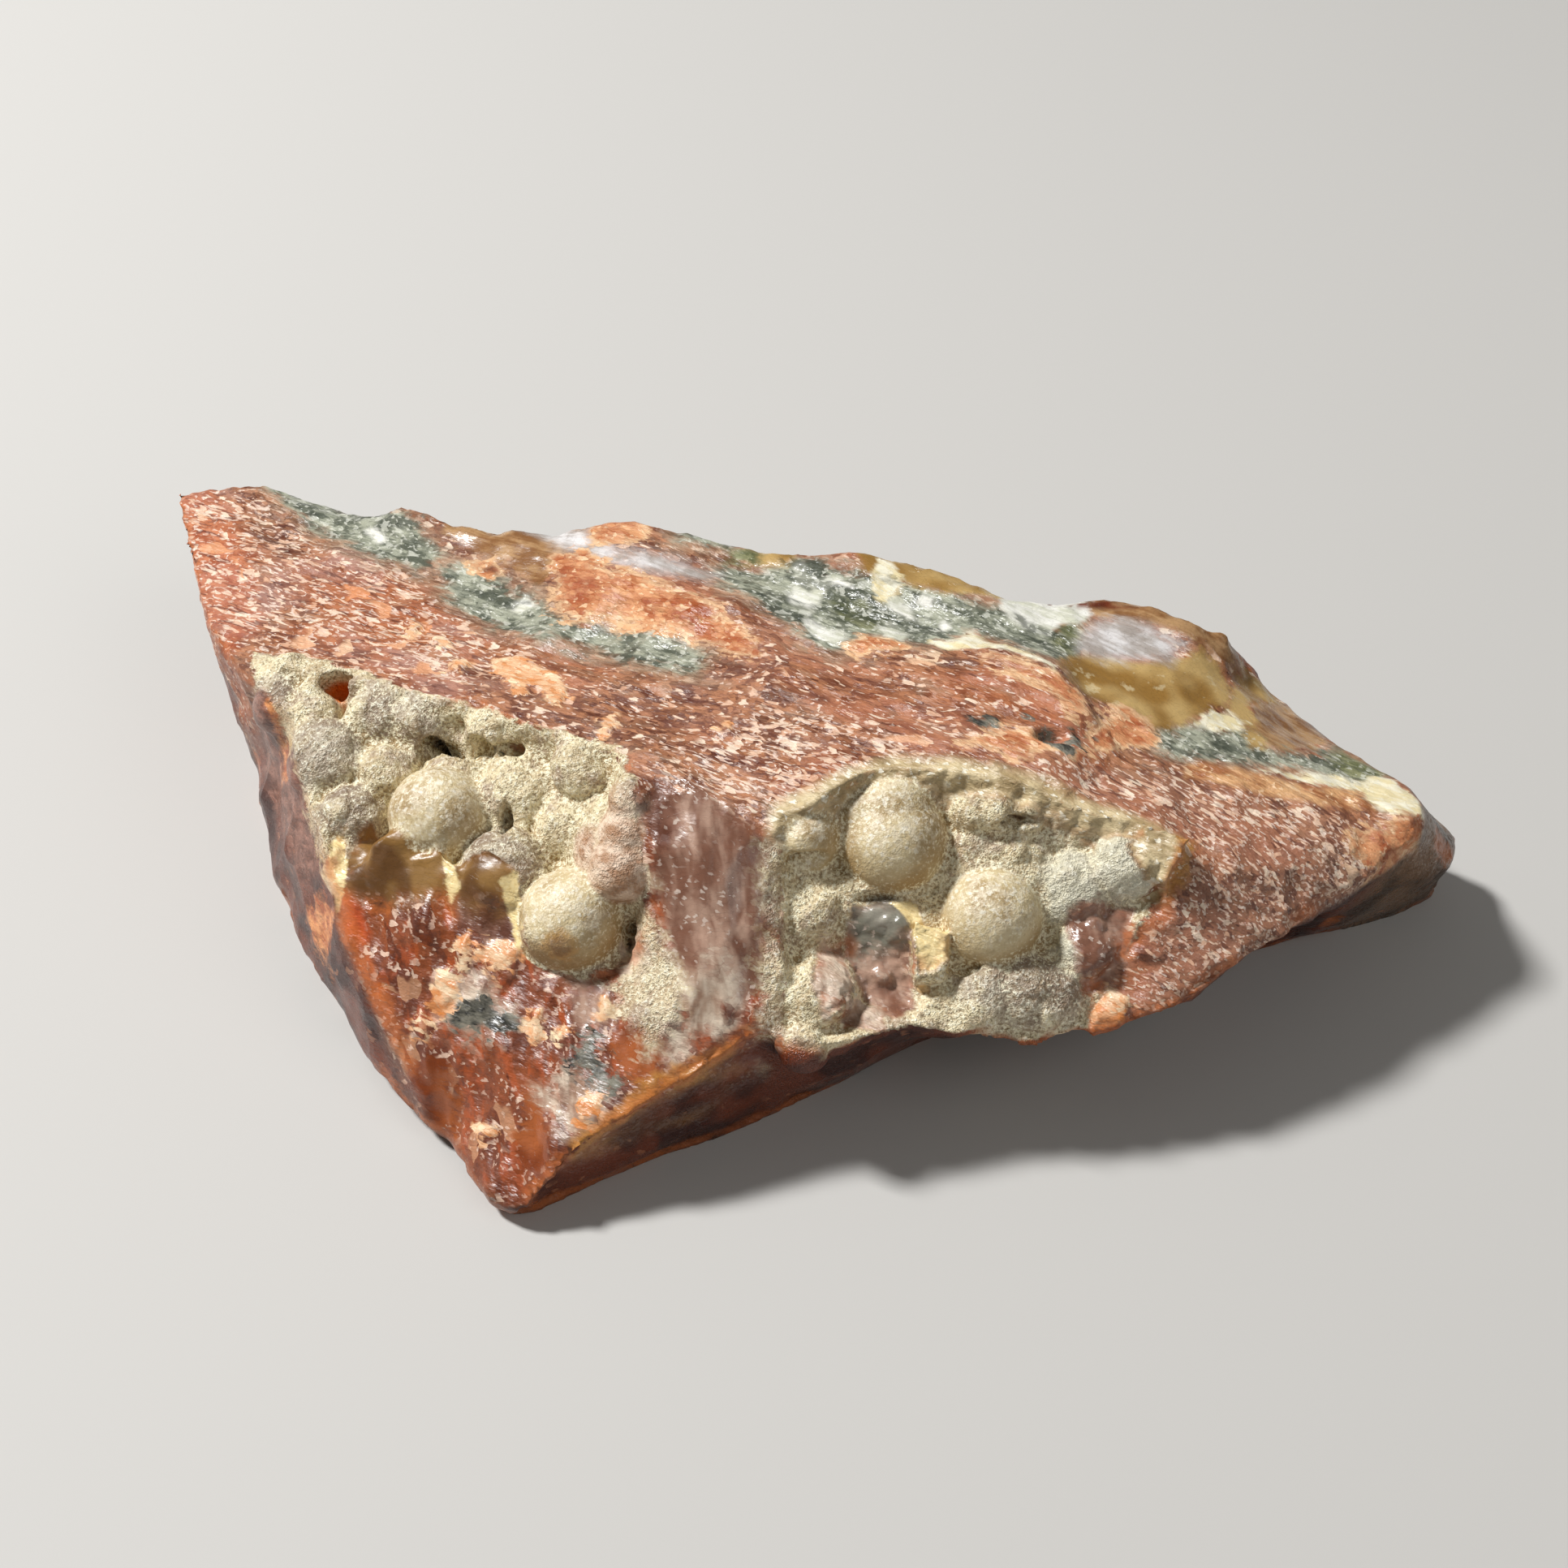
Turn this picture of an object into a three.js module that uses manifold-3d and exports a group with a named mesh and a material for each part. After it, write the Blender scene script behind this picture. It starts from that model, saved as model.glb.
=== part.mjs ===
// Rough ocean jasper: one broken, wedge-like chunk of red-brown jasper with a band of chalcedony
// along its back, and two open pockets in its front that are lined with round botryoidal orbs.
//
// The chunk is one solid. Its upper skin is a relief over the plan, its flanks are lofted from the
// broken upper rim over a waist down to a flat foot, and the orbs are joined to the pocket floors.
// Millimetres, +Z up, X along the long axis, resting on the flat foot at z = 0.

import * as THREE from 'three';
import { ConvexHull } from 'three/addons/math/ConvexHull.js';
import { ConvexGeometry } from 'three/addons/geometries/ConvexGeometry.js';
import { ImprovedNoise } from 'three/addons/math/ImprovedNoise.js';
import { mergeVertices } from 'three/addons/utils/BufferGeometryUtils.js';
import Module from 'manifold-3d';

const wasm = await Module();
wasm.setup();

// ---------------------------------------------------------------- driving dimensions, mm

const FACET = 1.75; // spacing of the faceted upper skin
const FLANK_STEP = 2.0; // spacing of the columns of the flanks
const GRAIN_ANGLE = THREE.MathUtils.degToRad(-28); // the ledges run along the long axis
const LEDGE_HEIGHT = 0.45; // flat flakes and ledges of the upper face
const RIPPLE_HEIGHT = 0.18; // finer chipping
const FLANK_CHIPPING = 0.45; // in and out of the flanks
const POCKET_WALL = 0.9; // plan width of a pocket's steep wall
const RIM_MARGIN = 3.0; // a pocket's floor rises to the broken rim over this width
const ORB_SINK = 0.3; // an orb's seat lies this share of its radius below its centre
const SKIRT_WIDTH = 2.2; // the lining slopes away from a seat over this width
const SKIRT_SLOPE = 0.9;
const LARGE_ORB = 2.2; // orbs from this radius on are rounder
const SCAR_DETAIL = 5; // subdivision of the spheres that leave the scars
const ROW_CLEARANCE = 1.0; // lattice points keep this far from the rows along a pocket's edge
const SEED = 7;

// One row for each station round the chunk, counter-clockwise from the left tip:
// rim [x, y, z], the broken upper edge, waist [x, y, z] and foot [x, y] on the ground.

const LEFT_FLANK = [
  [[-41.9, 23.7, 12.8], [-41.2, 23.4, 11.0], [-36.0, 18.0]],
  [[-40.4, 18.7, 12.9], [-39.9, 19.2, 10.5], [-36.2, 14.8]],
  [[-38.6, 13.8, 13.1], [-38.4, 14.5, 9.5], [-36.0, 11.8]],
  [[-36.8, 9.0, 13.4], [-37.2, 10.8, 8.5], [-35.4, 9.0]],
  [[-34.0, 4.6, 14.0], [-35.6, 7.1, 7.2], [-34.6, 6.0]],
  [[-31.3, 1.5, 14.5], [-34.4, 4.2, 6.0], [-33.6, 3.4]],
  [[-29.6, -0.5, 14.5], [-33.5, 1.2, 5.0], [-32.6, 0.5]],
  [[-29.2, -3.0, 13.5], [-32.6, -1.7, 4.2], [-31.6, -2.0]],
  [[-27.7, -6.9, 12.5], [-31.5, -5.1, 3.6], [-30.4, -5.2]],
  [[-26.8, -9.1, 12.3], [-30.2, -8.0, 3.2], [-29.2, -7.8]],
  [[-26.0, -10.9, 11.0], [-28.6, -10.7, 2.8], [-27.6, -10.3]],
  [[-25.5, -13.2, 9.0], [-26.9, -13.3, 2.4], [-26.0, -12.6]],
  [[-24.1, -15.5, 8.0], [-25.1, -16.0, 2.0], [-24.2, -15.3]],
  [[-23.1, -17.2, 6.5], [-23.7, -18.0, 1.7], [-22.8, -17.3]],
  [[-21.8, -19.3, 4.5], [-22.3, -19.7, 1.4], [-21.3, -19.0]],
  [[-20.5, -20.9, 2.6], [-21.1, -20.9, 1.2], [-20.2, -20.2]],
  [[-19.0, -22.0, 1.9], [-19.3, -22.0, 0.9], [-18.4, -21.4]],
  [[-17.7, -24.5, 1.8], [-18.0, -24.5, 0.9], [-17.2, -24.0]],
];

const TOE = [
  [[-16.5, -26.3, 1.6], [-16.8, -26.4, 0.8], [-16.0, -25.9]],
  [[-15.4, -27.0, 1.5], [-15.5, -27.3, 0.7], [-15.2, -26.5]],
  [[-14.3, -27.2, 1.9], [-14.1, -27.1, 0.9], [-14.0, -26.3]],
];

const FRONT_FLANK = [
  [[-13.7, -26.8, 2.6], [-13.3, -26.3, 1.3], [-12.9, -25.7]],
  [[-11.7, -25.6, 4.7], [-11.2, -25.0, 2.5], [-10.6, -24.3]],
  [[-9.9, -24.7, 5.6], [-9.2, -24.1, 3.0], [-8.6, -23.3]],
  [[-7.9, -23.7, 6.5], [-7.3, -23.1, 3.5], [-6.9, -22.4]],
  [[-6.1, -22.9, 7.3], [-5.6, -22.4, 4.0], [-5.2, -21.8]],
  [[-4.4, -22.1, 8.0], [-3.9, -21.7, 4.0], [-3.5, -21.1]],
  [[-2.7, -21.1, 8.6], [-2.2, -20.8, 4.3], [-1.8, -20.2]],
  [[-1.2, -20.5, 9.0], [-0.7, -20.0, 4.5], [-0.2, -19.3]],
  [[0.9, -21.2, 9.0], [1.3, -19.8, 4.5], [1.6, -18.2]],
  [[2.9, -21.3, 9.0], [3.2, -19.2, 4.5], [3.4, -17.2]],
  [[5.1, -20.7, 9.0], [5.4, -18.0, 4.3], [5.8, -15.6]],
  [[7.0, -20.1, 9.0], [7.4, -17.0, 4.2], [7.8, -14.4]],
  [[9.7, -20.1, 8.4], [10.0, -16.2, 4.0], [10.4, -12.9]],
  [[12.0, -20.1, 7.8], [12.4, -15.6, 3.8], [13.0, -11.8]],
  [[14.3, -20.4, 7.3], [15.0, -15.2, 3.8], [15.8, -11.0]],
  [[16.9, -19.9, 7.5], [17.8, -14.9, 4.0], [18.6, -10.3]],
  [[19.2, -19.4, 7.9], [20.2, -14.4, 4.3], [21.2, -9.6]],
  [[22.1, -18.5, 8.7], [23.0, -13.4, 4.6], [24.0, -8.8]],
  [[25.0, -16.6, 9.4], [26.2, -12.0, 5.0], [27.2, -7.8]],
  [[28.1, -14.6, 9.8], [29.0, -10.7, 5.0], [30.0, -6.8]],
  [[31.0, -12.1, 10.0], [32.0, -9.0, 5.0], [32.8, -5.7]],
  [[35.0, -9.5, 10.3], [35.7, -7.2, 5.0], [36.0, -5.0]],
];

const RIGHT_END = [
  [[37.3, -7.5, 10.6], [39.4, -5.4, 5.2], [39.2, -3.9]],
  [[38.1, -6.0, 11.4], [41.9, -3.4, 4.8], [41.8, -2.4]],
  [[38.2, -4.6, 11.3], [42.6, -1.2, 4.2], [41.9, 0.2]],
  [[38.0, -3.4, 11.0], [41.0, 1.9, 4.2], [40.0, 2.4]],
];

const BACK_FLANK = [
  [[36.6, -1.2, 10.5], [38.8, 3.8, 4.8], [37.4, 4.0]],
  [[34.6, 1.2, 10.0], [36.9, 6.8, 4.4], [35.2, 6.6]],
  [[33.0, 3.7, 10.0], [34.6, 9.6, 4.2], [33.0, 9.0]],
  [[31.3, 6.7, 9.5], [32.0, 11.8, 4.6], [30.8, 11.0]],
  [[29.6, 7.3, 11.6], [29.8, 12.4, 5.6], [28.6, 11.2]],
  [[27.8, 6.9, 14.5], [27.8, 12.6, 6.6], [26.6, 11.0]],
  [[25.8, 6.9, 15.5], [25.6, 12.8, 7.2], [24.4, 11.2]],
  [[23.1, 7.8, 16.0], [22.8, 13.4, 7.4], [21.8, 12.0]],
  [[20.0, 7.7, 15.8], [19.6, 14.2, 7.0], [18.8, 13.0]],
  [[17.5, 7.9, 16.0], [16.4, 15.0, 6.6], [15.8, 14.0]],
  [[13.9, 8.2, 16.5], [13.0, 15.4, 7.0], [12.2, 14.0]],
  [[11.4, 9.1, 17.0], [10.4, 15.8, 7.6], [9.4, 14.0]],
  [[8.4, 10.2, 17.5], [7.6, 16.2, 8.4], [6.8, 13.8]],
  [[4.8, 10.7, 18.0], [4.2, 16.8, 8.8], [3.4, 14.2]],
  [[1.7, 11.2, 17.5], [1.0, 17.6, 8.4], [0.4, 15.4]],
  [[-1.3, 12.0, 17.0], [-2.2, 18.4, 7.8], [-2.6, 16.6]],
  [[-4.4, 13.2, 17.0], [-5.2, 19.6, 7.0], [-5.6, 18.2]],
  [[-7.1, 13.9, 17.3], [-8.2, 20.8, 6.4], [-8.4, 19.6]],
  [[-9.7, 14.5, 17.6], [-10.8, 21.2, 6.8], [-11.2, 19.6]],
  [[-12.1, 15.0, 17.0], [-13.4, 21.4, 7.2], [-14.0, 19.2]],
  [[-14.6, 15.8, 15.5], [-15.8, 21.8, 7.6], [-16.6, 19.2]],
  [[-18.4, 16.8, 15.5], [-19.4, 22.6, 7.6], [-20.0, 19.8]],
  [[-21.8, 17.9, 15.5], [-22.8, 23.8, 7.2], [-23.0, 21.2]],
  [[-24.8, 19.3, 15.0], [-25.8, 25.0, 6.6], [-25.6, 22.6]],
  [[-27.2, 20.5, 13.5], [-28.2, 25.8, 6.0], [-27.6, 23.6]],
  [[-28.8, 20.7, 13.0], [-30.0, 26.2, 6.4], [-29.4, 23.6]],
  [[-31.2, 21.8, 13.0], [-32.4, 26.2, 7.6], [-31.4, 22.6]],
  [[-35.3, 23.4, 13.7], [-36.0, 26.2, 9.2], [-33.6, 21.2]],
  [[-38.8, 23.9, 13.2], [-39.2, 25.2, 10.2], [-35.4, 19.8]],
];

const STATIONS = [...LEFT_FLANK, ...TOE, ...FRONT_FLANK, ...RIGHT_END, ...BACK_FLANK];

// Points [x, y, z] of the upper skin inside the rim, before the pockets are sunk into it.

const TOP_FACE = [
  [-35.8, 16.2, 13.5], [-30.6, 11.1, 14.3], [-26.2, 6.3, 15.0], [-18.0, 1.4, 16.0],
  [-9.8, -2.5, 17.0], [-3.1, -5.4, 17.8], [1.6, -7.9, 18.2], [8.5, -7.4, 18.5],
  [6.4, -2.2, 18.0], [-0.8, 0.2, 17.8], [-8.2, 2.5, 17.0],
];

const SLATE_TROUGH = [
  [-27.8, 17.3, 13.8], [-21.3, 12.7, 14.1], [-16.8, 9.5, 14.4], [-10.8, 4.9, 15.4],
  [-6.2, 3.1, 16.3],
];

const RAISED_PATCH = [
  [-14.3, 11.5, 16.0], [-8.5, 9.6, 17.5], [-3.3, 6.1, 17.9], [-1.3, 2.4, 17.8],
  [-12.4, 6.6, 16.5], [-7.2, 4.0, 17.2],
];

const CHALCEDONY_BAND = [
  [-3.4, 10.8, 16.4], [1.7, 8.1, 16.6], [4.7, 4.8, 16.9], [11.7, 4.9, 16.5],
  [16.6, 4.6, 16.0], [3.7, 7.4, 17.5], [10.8, 7.1, 17.0],
];

// The red plate of the top face ends in a ragged step: its edge, and the foot of the step.
const PLATE_EDGE = [
  [10.9, 2.2, 17.9], [16.2, 0.3, 17.8], [18.0, -3.6, 17.7], [16.5, -6.6, 17.8],
  [12.8, -1.8, 18.0],
];
const STEP_FOOT = [
  [11.6, 3.3, 16.8], [17.1, 1.2, 16.0], [19.1, -3.6, 15.7], [18.0, -7.4, 16.1],
];

const AMBER_HOLLOW = [
  [20.7, 4.1, 15.2], [24.3, 4.6, 14.7], [27.0, 4.2, 13.3], [22.2, -0.4, 14.7],
];

const RIGHT_SLOPE = [
  [23.5, -2.1, 14.3], [28.5, 0.1, 12.5], [31.5, -0.9, 11.6], [33.8, -2.4, 11.2],
  [22.7, -7.5, 15.2], [27.6, -7.9, 13.8], [32.8, -6.5, 12.3], [35.2, -7.0, 11.7],
];

const FRONT_RIGHT_FACETS = [
  [23.6, -12.7, 14.0], [27.5, -12.0, 12.6], [24.5, -14.6, 11.6], [21.7, -16.4, 10.5],
  [27.6, -13.6, 11.0], [30.7, -10.4, 12.2],
];

const RIDGE_BETWEEN_POCKETS = [
  [-7.3, -9.9, 18.0], [-5.3, -11.6, 17.4], [-3.0, -12.3, 17.2], [-1.6, -12.7, 17.0],
  [-0.9, -14.9, 14.6], [-0.8, -17.3, 12.6], [-1.2, -19.0, 10.9], [-5.7, -14.5, 15.4],
  [-4.8, -17.1, 12.9], [-3.9, -19.7, 10.4],
];

const FRONT_LEFT_FACE = [
  [-20.8, -14.1, 10.0], [-17.0, -14.6, 10.4], [-16.9, -18.3, 7.8], [-18.8, -20.4, 4.6],
  [-14.9, -20.3, 6.6], [-12.2, -19.0, 8.0], [-10.3, -21.5, 6.9], [-14.4, -24.0, 4.0],
  [-15.8, -25.3, 2.3], [-8.4, -20.2, 9.0], [-6.3, -19.3, 10.3],
];

// Mouths of the two pockets, [x, y, z] along their broken edges. A mouth that is open at the front
// or side runs out to the rim, where the floor comes up to the edge.

const LEFT_MOUTH = [
  [-33.2, 4.5, 14.0], [-28.7, 2.4, 15.2], [-26.2, 1.2, 15.6], [-23.6, 0.2, 16.0],
  [-20.8, -1.0, 16.3], [-17.4, -2.3, 16.8], [-15.5, -3.6, 17.0], [-12.2, -5.2, 17.3],
  [-9.6, -6.6, 17.7], [-8.6, -8.8, 18.0], [-8.2, -11.6, 17.0], [-8.0, -14.3, 13.4],
  [-8.8, -16.4, 10.2], [-11.6, -17.0, 9.0], [-13.6, -16.2, 9.3], [-15.1, -14.6, 10.6],
  [-15.3, -12.4, 12.4], [-16.6, -11.6, 12.8], [-18.8, -11.5, 12.6], [-20.0, -10.4, 12.9],
  [-22.0, -9.5, 13.2], [-24.8, -10.0, 12.5],
];

const RIGHT_MOUTH = [
  [-0.4, -13.2, 16.2], [-0.2, -11.6, 17.5], [1.7, -11.3, 17.9], [3.2, -10.3, 18.1],
  [4.7, -9.4, 18.3], [6.6, -9.1, 18.5], [9.0, -9.3, 18.4], [12.4, -9.7, 18.0],
  [14.3, -10.1, 17.5], [16.2, -10.8, 17.0], [18.1, -11.2, 16.6], [20.1, -11.3, 16.2],
  [22.4, -12.0, 15.6], [21.5, -13.9, 13.9], [20.1, -15.3, 12.3], [18.5, -17.0, 10.2],
  [17.4, -18.6, 8.8],
];

// Plan outlines of the sunk floors, with the depth below the mouth.
const POCKETS = [
  {
    depth: 3.8,
    mouth: LEFT_MOUTH,
    outline: [...LEFT_MOUTH, [-27.6, -9.4], [-30.4, -0.6], [-32.6, 2.6]],
  },
  {
    depth: 3.2,
    mouth: RIGHT_MOUTH,
    outline: [...RIGHT_MOUTH, [16.6, -21.5], [0.0, -22.5], [-0.2, -17.3]],
  },
];

// Round orbs [x, y, z, radius] of the two linings.

const LEFT_ORBS = [
  [-20.3, -7.2, 12.4, 3.0], [-12.1, -13.8, 10.8, 3.0], [-9.5, -10.7, 13.2, 2.4],
  [-11.7, -6.1, 15.4, 1.9], [-16.2, -10.6, 10.8, 2.9], [-24.0, 0.0, 13.4, 2.4],
  [-21.8, -0.5, 13.7, 2.3], [-27.4, -2.5, 12.3, 2.7], [-25.6, -6.4, 11.3, 2.2],
  [-23.8, -3.7, 12.2, 2.1], [-19.4, -4.4, 12.3, 2.3], [-15.6, -5.6, 12.2, 3.0],
  [-12.5, -8.4, 12.6, 2.0], [-30.9, 2.2, 12.8, 1.9], [-28.6, 0.6, 13.2, 1.7],
  [-17.4, -2.5, 15.0, 1.6], [-8.5, -10.1, 17.0, 1.4],
];

const RIGHT_ORBS = [
  [6.2, -11.0, 14.4, 3.1], [11.7, -14.5, 11.8, 2.9], [1.1, -10.9, 14.9, 2.3],
  [10.8, -10.1, 15.9, 1.4], [12.2, -10.2, 16.0, 1.4], [13.6, -10.5, 15.9, 1.2],
  [16.4, -12.2, 11.7, 2.9], [10.8, -10.3, 12.2, 2.3], [1.5, -14.0, 11.4, 2.1],
  [3.5, -12.2, 11.6, 2.0], [1.9, -17.9, 8.8, 2.5], [11.6, -17.3, 8.6, 2.4],
  [13.4, -17.1, 8.5, 2.6], [15.0, -17.3, 8.4, 2.2], [19.3, -12.0, 13.4, 2.3],
  [17.2, -15.4, 10.0, 2.1],
];

// Orbs that the break went through: their flat, glassy sections look out to the front.
const BREAK_FACING = [0, -0.72, 0.69];
const BROKEN_ORBS = [
  [-21.9, -10.6, 11.4, 2.5], [-17.6, -12.6, 10.9, 2.0], [5.6, -16.2, 9.6, 2.7],
];

// Thin chips of chalcedony that stand at the edges of the right pocket.
const AMBER_FLAP = [
  [20.2, -11.6, 16.4], [22.9, -12.2, 16.0], [21.4, -14.2, 14.2], [20.3, -13.4, 14.4],
  [20.2, -11.4, 14.4], [22.6, -11.9, 14.2], [21.3, -13.6, 12.6],
];
const PALE_FLAKE = [
  [7.2, -15.9, 13.2], [9.2, -16.2, 12.6], [9.0, -18.1, 10.9], [7.3, -18.2, 10.8],
  [7.3, -15.6, 9.6], [9.2, -15.8, 9.4], [8.9, -17.4, 8.6], [7.4, -17.4, 8.6],
];

// Small dark openings into the rock: centre [x, y, z] and half sizes [x, y, z].
const PIN_HOLE = { centre: [-27.2, 1.8, 15.0], half: [1.0, 0.8, 1.8] };
const DARK_GAP = { centre: [-19.2, -2.7, 15.0], half: [1.7, 0.9, 1.0] };
const SHELF_SLOT = { centre: [13.0, -10.6, 14.6], half: [1.6, 0.9, 0.5] };

const ORBS = [...LEFT_ORBS, ...RIGHT_ORBS];
const SEATED = [...ORBS, ...BROKEN_ORBS];

// Shell-like scars of the break, each the hollow of a sphere: a point on the face, the way the
// face looks, the sphere's radius and the scar's depth.
const SCARS = [
  { at: [36.6, 5.2, 6.0], facing: [0.78, 0.6, 0.15], radius: 15, depth: 1.5 },
  { at: [24.8, 12.0, 8.2], facing: [0.32, 0.9, 0.3], radius: 17, depth: 2.2 },
  { at: [10.0, 15.2, 9.0], facing: [0.0, 0.88, 0.46], radius: 21, depth: 2.0 },
  { at: [-2.6, 18.0, 5.0], facing: [0.3, 0.94, -0.15], radius: 12, depth: 1.7 },
  { at: [-12.6, 19.6, 10.6], facing: [-0.05, 0.86, 0.5], radius: 22, depth: 2.0 },
  { at: [-25.4, 23.6, 8.6], facing: [0.05, 0.95, 0.3], radius: 15, depth: 1.9 },
  { at: [-37.4, 19.6, 8.0], facing: [-0.8, 0.1, -0.6], radius: 12, depth: 1.0 },
  { at: [16.0, -15.4, 4.0], facing: [0.2, -0.65, -0.75], radius: 14, depth: 1.2 },
  { at: [29.4, -10.2, 5.2], facing: [0.35, -0.75, -0.55], radius: 13, depth: 1.1 },
  { at: [-31.0, 16.0, 0], facing: [-0.25, 0.2, -1], radius: 20, depth: 1.6 },
  { at: [3.0, 12.5, 0], facing: [0, 0.22, -1], radius: 22, depth: 1.3 },
  { at: [26.0, 6.5, 0], facing: [0.2, 0.12, -1], radius: 18, depth: 1.1 },
];

// ---------------------------------------------------------------- helpers

const noise = new ImprovedNoise();

function seededRandom(seed) {
  let state = seed;
  return () => {
    state = (state * 16807) % 2147483647;
    return state / 2147483647;
  };
}

function insideOutline(outline, x, y) {
  let inside = false;
  for (let i = 0, j = outline.length - 1; i < outline.length; j = i, i += 1) {
    const [xi, yi] = outline[i];
    const [xj, yj] = outline[j];
    if ((yi > y) !== (yj > y) && x < ((xj - xi) * (y - yi)) / (yj - yi) + xi) {
      inside = !inside;
    }
  }
  return inside;
}

function distanceToOutline(outline, x, y) {
  let nearest = Infinity;
  for (let i = 0, j = outline.length - 1; i < outline.length; j = i, i += 1) {
    const [ax, ay] = outline[j];
    const [bx, by] = outline[i];
    const along = ((x - ax) * (bx - ax) + (y - ay) * (by - ay)) / ((bx - ax) ** 2 + (by - ay) ** 2);
    const t = THREE.MathUtils.clamp(along, 0, 1);
    nearest = Math.min(nearest, Math.hypot(x - ax - t * (bx - ax), y - ay - t * (by - ay)));
  }
  return nearest;
}

// Delaunay triangles of plan points: the lower faces of the hull of the points on a paraboloid.
function delaunay(points) {
  const lifted = points.map(([x, y]) => new THREE.Vector3(x, y, (x * x + y * y) / 40));
  const index = new Map(lifted.map((point, i) => [point, i]));
  const triangles = [];
  for (const face of new ConvexHull().setFromPoints(lifted).faces) {
    if (face.normal.z < -1e-6) {
      const corners = [0, 1, 2].map((k) => index.get(face.getEdge(k).head().point));
      triangles.push([corners[0], corners[2], corners[1]]);
    }
  }
  return triangles;
}

// Height over the plan, linear over the triangles between the named points.
function makeRelief(points) {
  const triangles = delaunay(points);
  return (x, y) => {
    for (const [a, b, c] of triangles) {
      const [ax, ay, az] = points[a];
      const [bx, by, bz] = points[b];
      const [cx, cy, cz] = points[c];
      const area = (bx - ax) * (cy - ay) - (cx - ax) * (by - ay);
      const u = ((bx - x) * (cy - y) - (cx - x) * (by - y)) / area;
      const v = ((cx - x) * (ay - y) - (ax - x) * (cy - y)) / area;
      if (u >= -1e-6 && v >= -1e-6 && u + v <= 1 + 1e-6) {
        return u * az + v * bz + (1 - u - v) * cz;
      }
    }
    return null;
  };
}

function solidOf(geometry) {
  const bare = geometry.index ? geometry.clone() : geometry;
  bare.deleteAttribute('normal');
  bare.deleteAttribute('uv');
  const merged = mergeVertices(bare, 1e-4);
  return new wasm.Manifold(new wasm.Mesh({
    numProp: 3,
    vertProperties: new Float32Array(merged.attributes.position.array),
    triVerts: new Uint32Array(merged.index.array),
  }));
}

function geometryOf(solid) {
  const { numProp, vertProperties, triVerts } = solid.getMesh();
  const position = new Float32Array((vertProperties.length / numProp) * 3);
  for (let i = 0; i < position.length / 3; i += 1) {
    position.set(vertProperties.subarray(i * numProp, i * numProp + 3), i * 3);
  }
  const geometry = new THREE.BufferGeometry();
  geometry.setAttribute('position', new THREE.BufferAttribute(position, 3));
  geometry.setIndex(new THREE.BufferAttribute(new Uint32Array(triVerts), 1));
  return geometry;
}

// ---------------------------------------------------------------- the broken chunk

// Columns round the chunk: the stations, with straight edges between them cut to FLANK_STEP.
function makeColumns() {
  const columns = [];
  STATIONS.forEach((station, i) => {
    const next = STATIONS[(i + 1) % STATIONS.length];
    const [rim, waist, foot] = station.map((p) => new THREE.Vector3(p[0], p[1], p[2] ?? 0));
    const [nextRim, nextWaist, nextFoot] = next.map((p) => new THREE.Vector3(p[0], p[1], p[2] ?? 0));
    const count = Math.max(1, Math.round(rim.distanceTo(nextRim) / FLANK_STEP));
    for (let k = 0; k < count; k += 1) {
      const t = k / count;
      columns.push({
        rim: rim.clone().lerp(nextRim, t),
        waist: waist.clone().lerp(nextWaist, t),
        foot: foot.clone().lerp(nextFoot, t),
      });
    }
  });
  return columns;
}

const columns = makeColumns();
const rimOutline = columns.map(({ rim }) => [rim.x, rim.y, rim.z]);

const skinHeight = makeRelief([
  ...STATIONS.map(([rim]) => rim), ...TOP_FACE, ...SLATE_TROUGH, ...RAISED_PATCH, ...CHALCEDONY_BAND,
  ...PLATE_EDGE, ...STEP_FOOT, ...AMBER_HOLLOW, ...RIGHT_SLOPE, ...FRONT_RIGHT_FACETS,
  ...RIDGE_BETWEEN_POCKETS, ...FRONT_LEFT_FACE, ...LEFT_MOUTH, ...RIGHT_MOUTH,
]);

function ledges(x, y) {
  const along = x * Math.cos(GRAIN_ANGLE) + y * Math.sin(GRAIN_ANGLE);
  const across = -x * Math.sin(GRAIN_ANGLE) + y * Math.cos(GRAIN_ANGLE);
  const broad = noise.noise(along / 9, across / 3, 0.5);
  const fine = noise.noise(along / 3.2, across / 2, 4.5);
  return LEDGE_HEIGHT * broad + RIPPLE_HEIGHT * fine;
}

function pocketSink(x, y) {
  let sink = 0;
  for (const { depth, outline } of POCKETS) {
    if (insideOutline(outline, x, y)) {
      const wall = THREE.MathUtils.smoothstep(distanceToOutline(outline, x, y), 0, POCKET_WALL);
      const margin = THREE.MathUtils.smoothstep(distanceToOutline(rimOutline, x, y), 0, RIM_MARGIN);
      sink = Math.max(sink, depth * wall * margin);
    }
  }
  return sink;
}

// The floor comes up round each orb, so that it grows out of the lining and not from a point.
function orbSeat(x, y) {
  let seat = -Infinity;
  for (const [ox, oy, oz, radius] of SEATED) {
    const beyond = Math.max(0, Math.hypot(x - ox, y - oy) - radius);
    if (beyond < SKIRT_WIDTH) {
      seat = Math.max(seat, oz - ORB_SINK * radius - SKIRT_SLOPE * beyond);
    }
  }
  return seat;
}

// A plan point lifted to the upper skin, sunk where a pocket lies.
function onSkin(x, y) {
  const skin = skinHeight(x, y) + ledges(x, y);
  const floor = skin - pocketSink(x, y);
  return [x, y, Math.min(skin, Math.max(floor, orbSeat(x, y)))];
}

function clearOfRim(x, y) {
  return insideOutline(rimOutline, x, y) && distanceToOutline(rimOutline, x, y) > FACET * 0.6;
}

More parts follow.
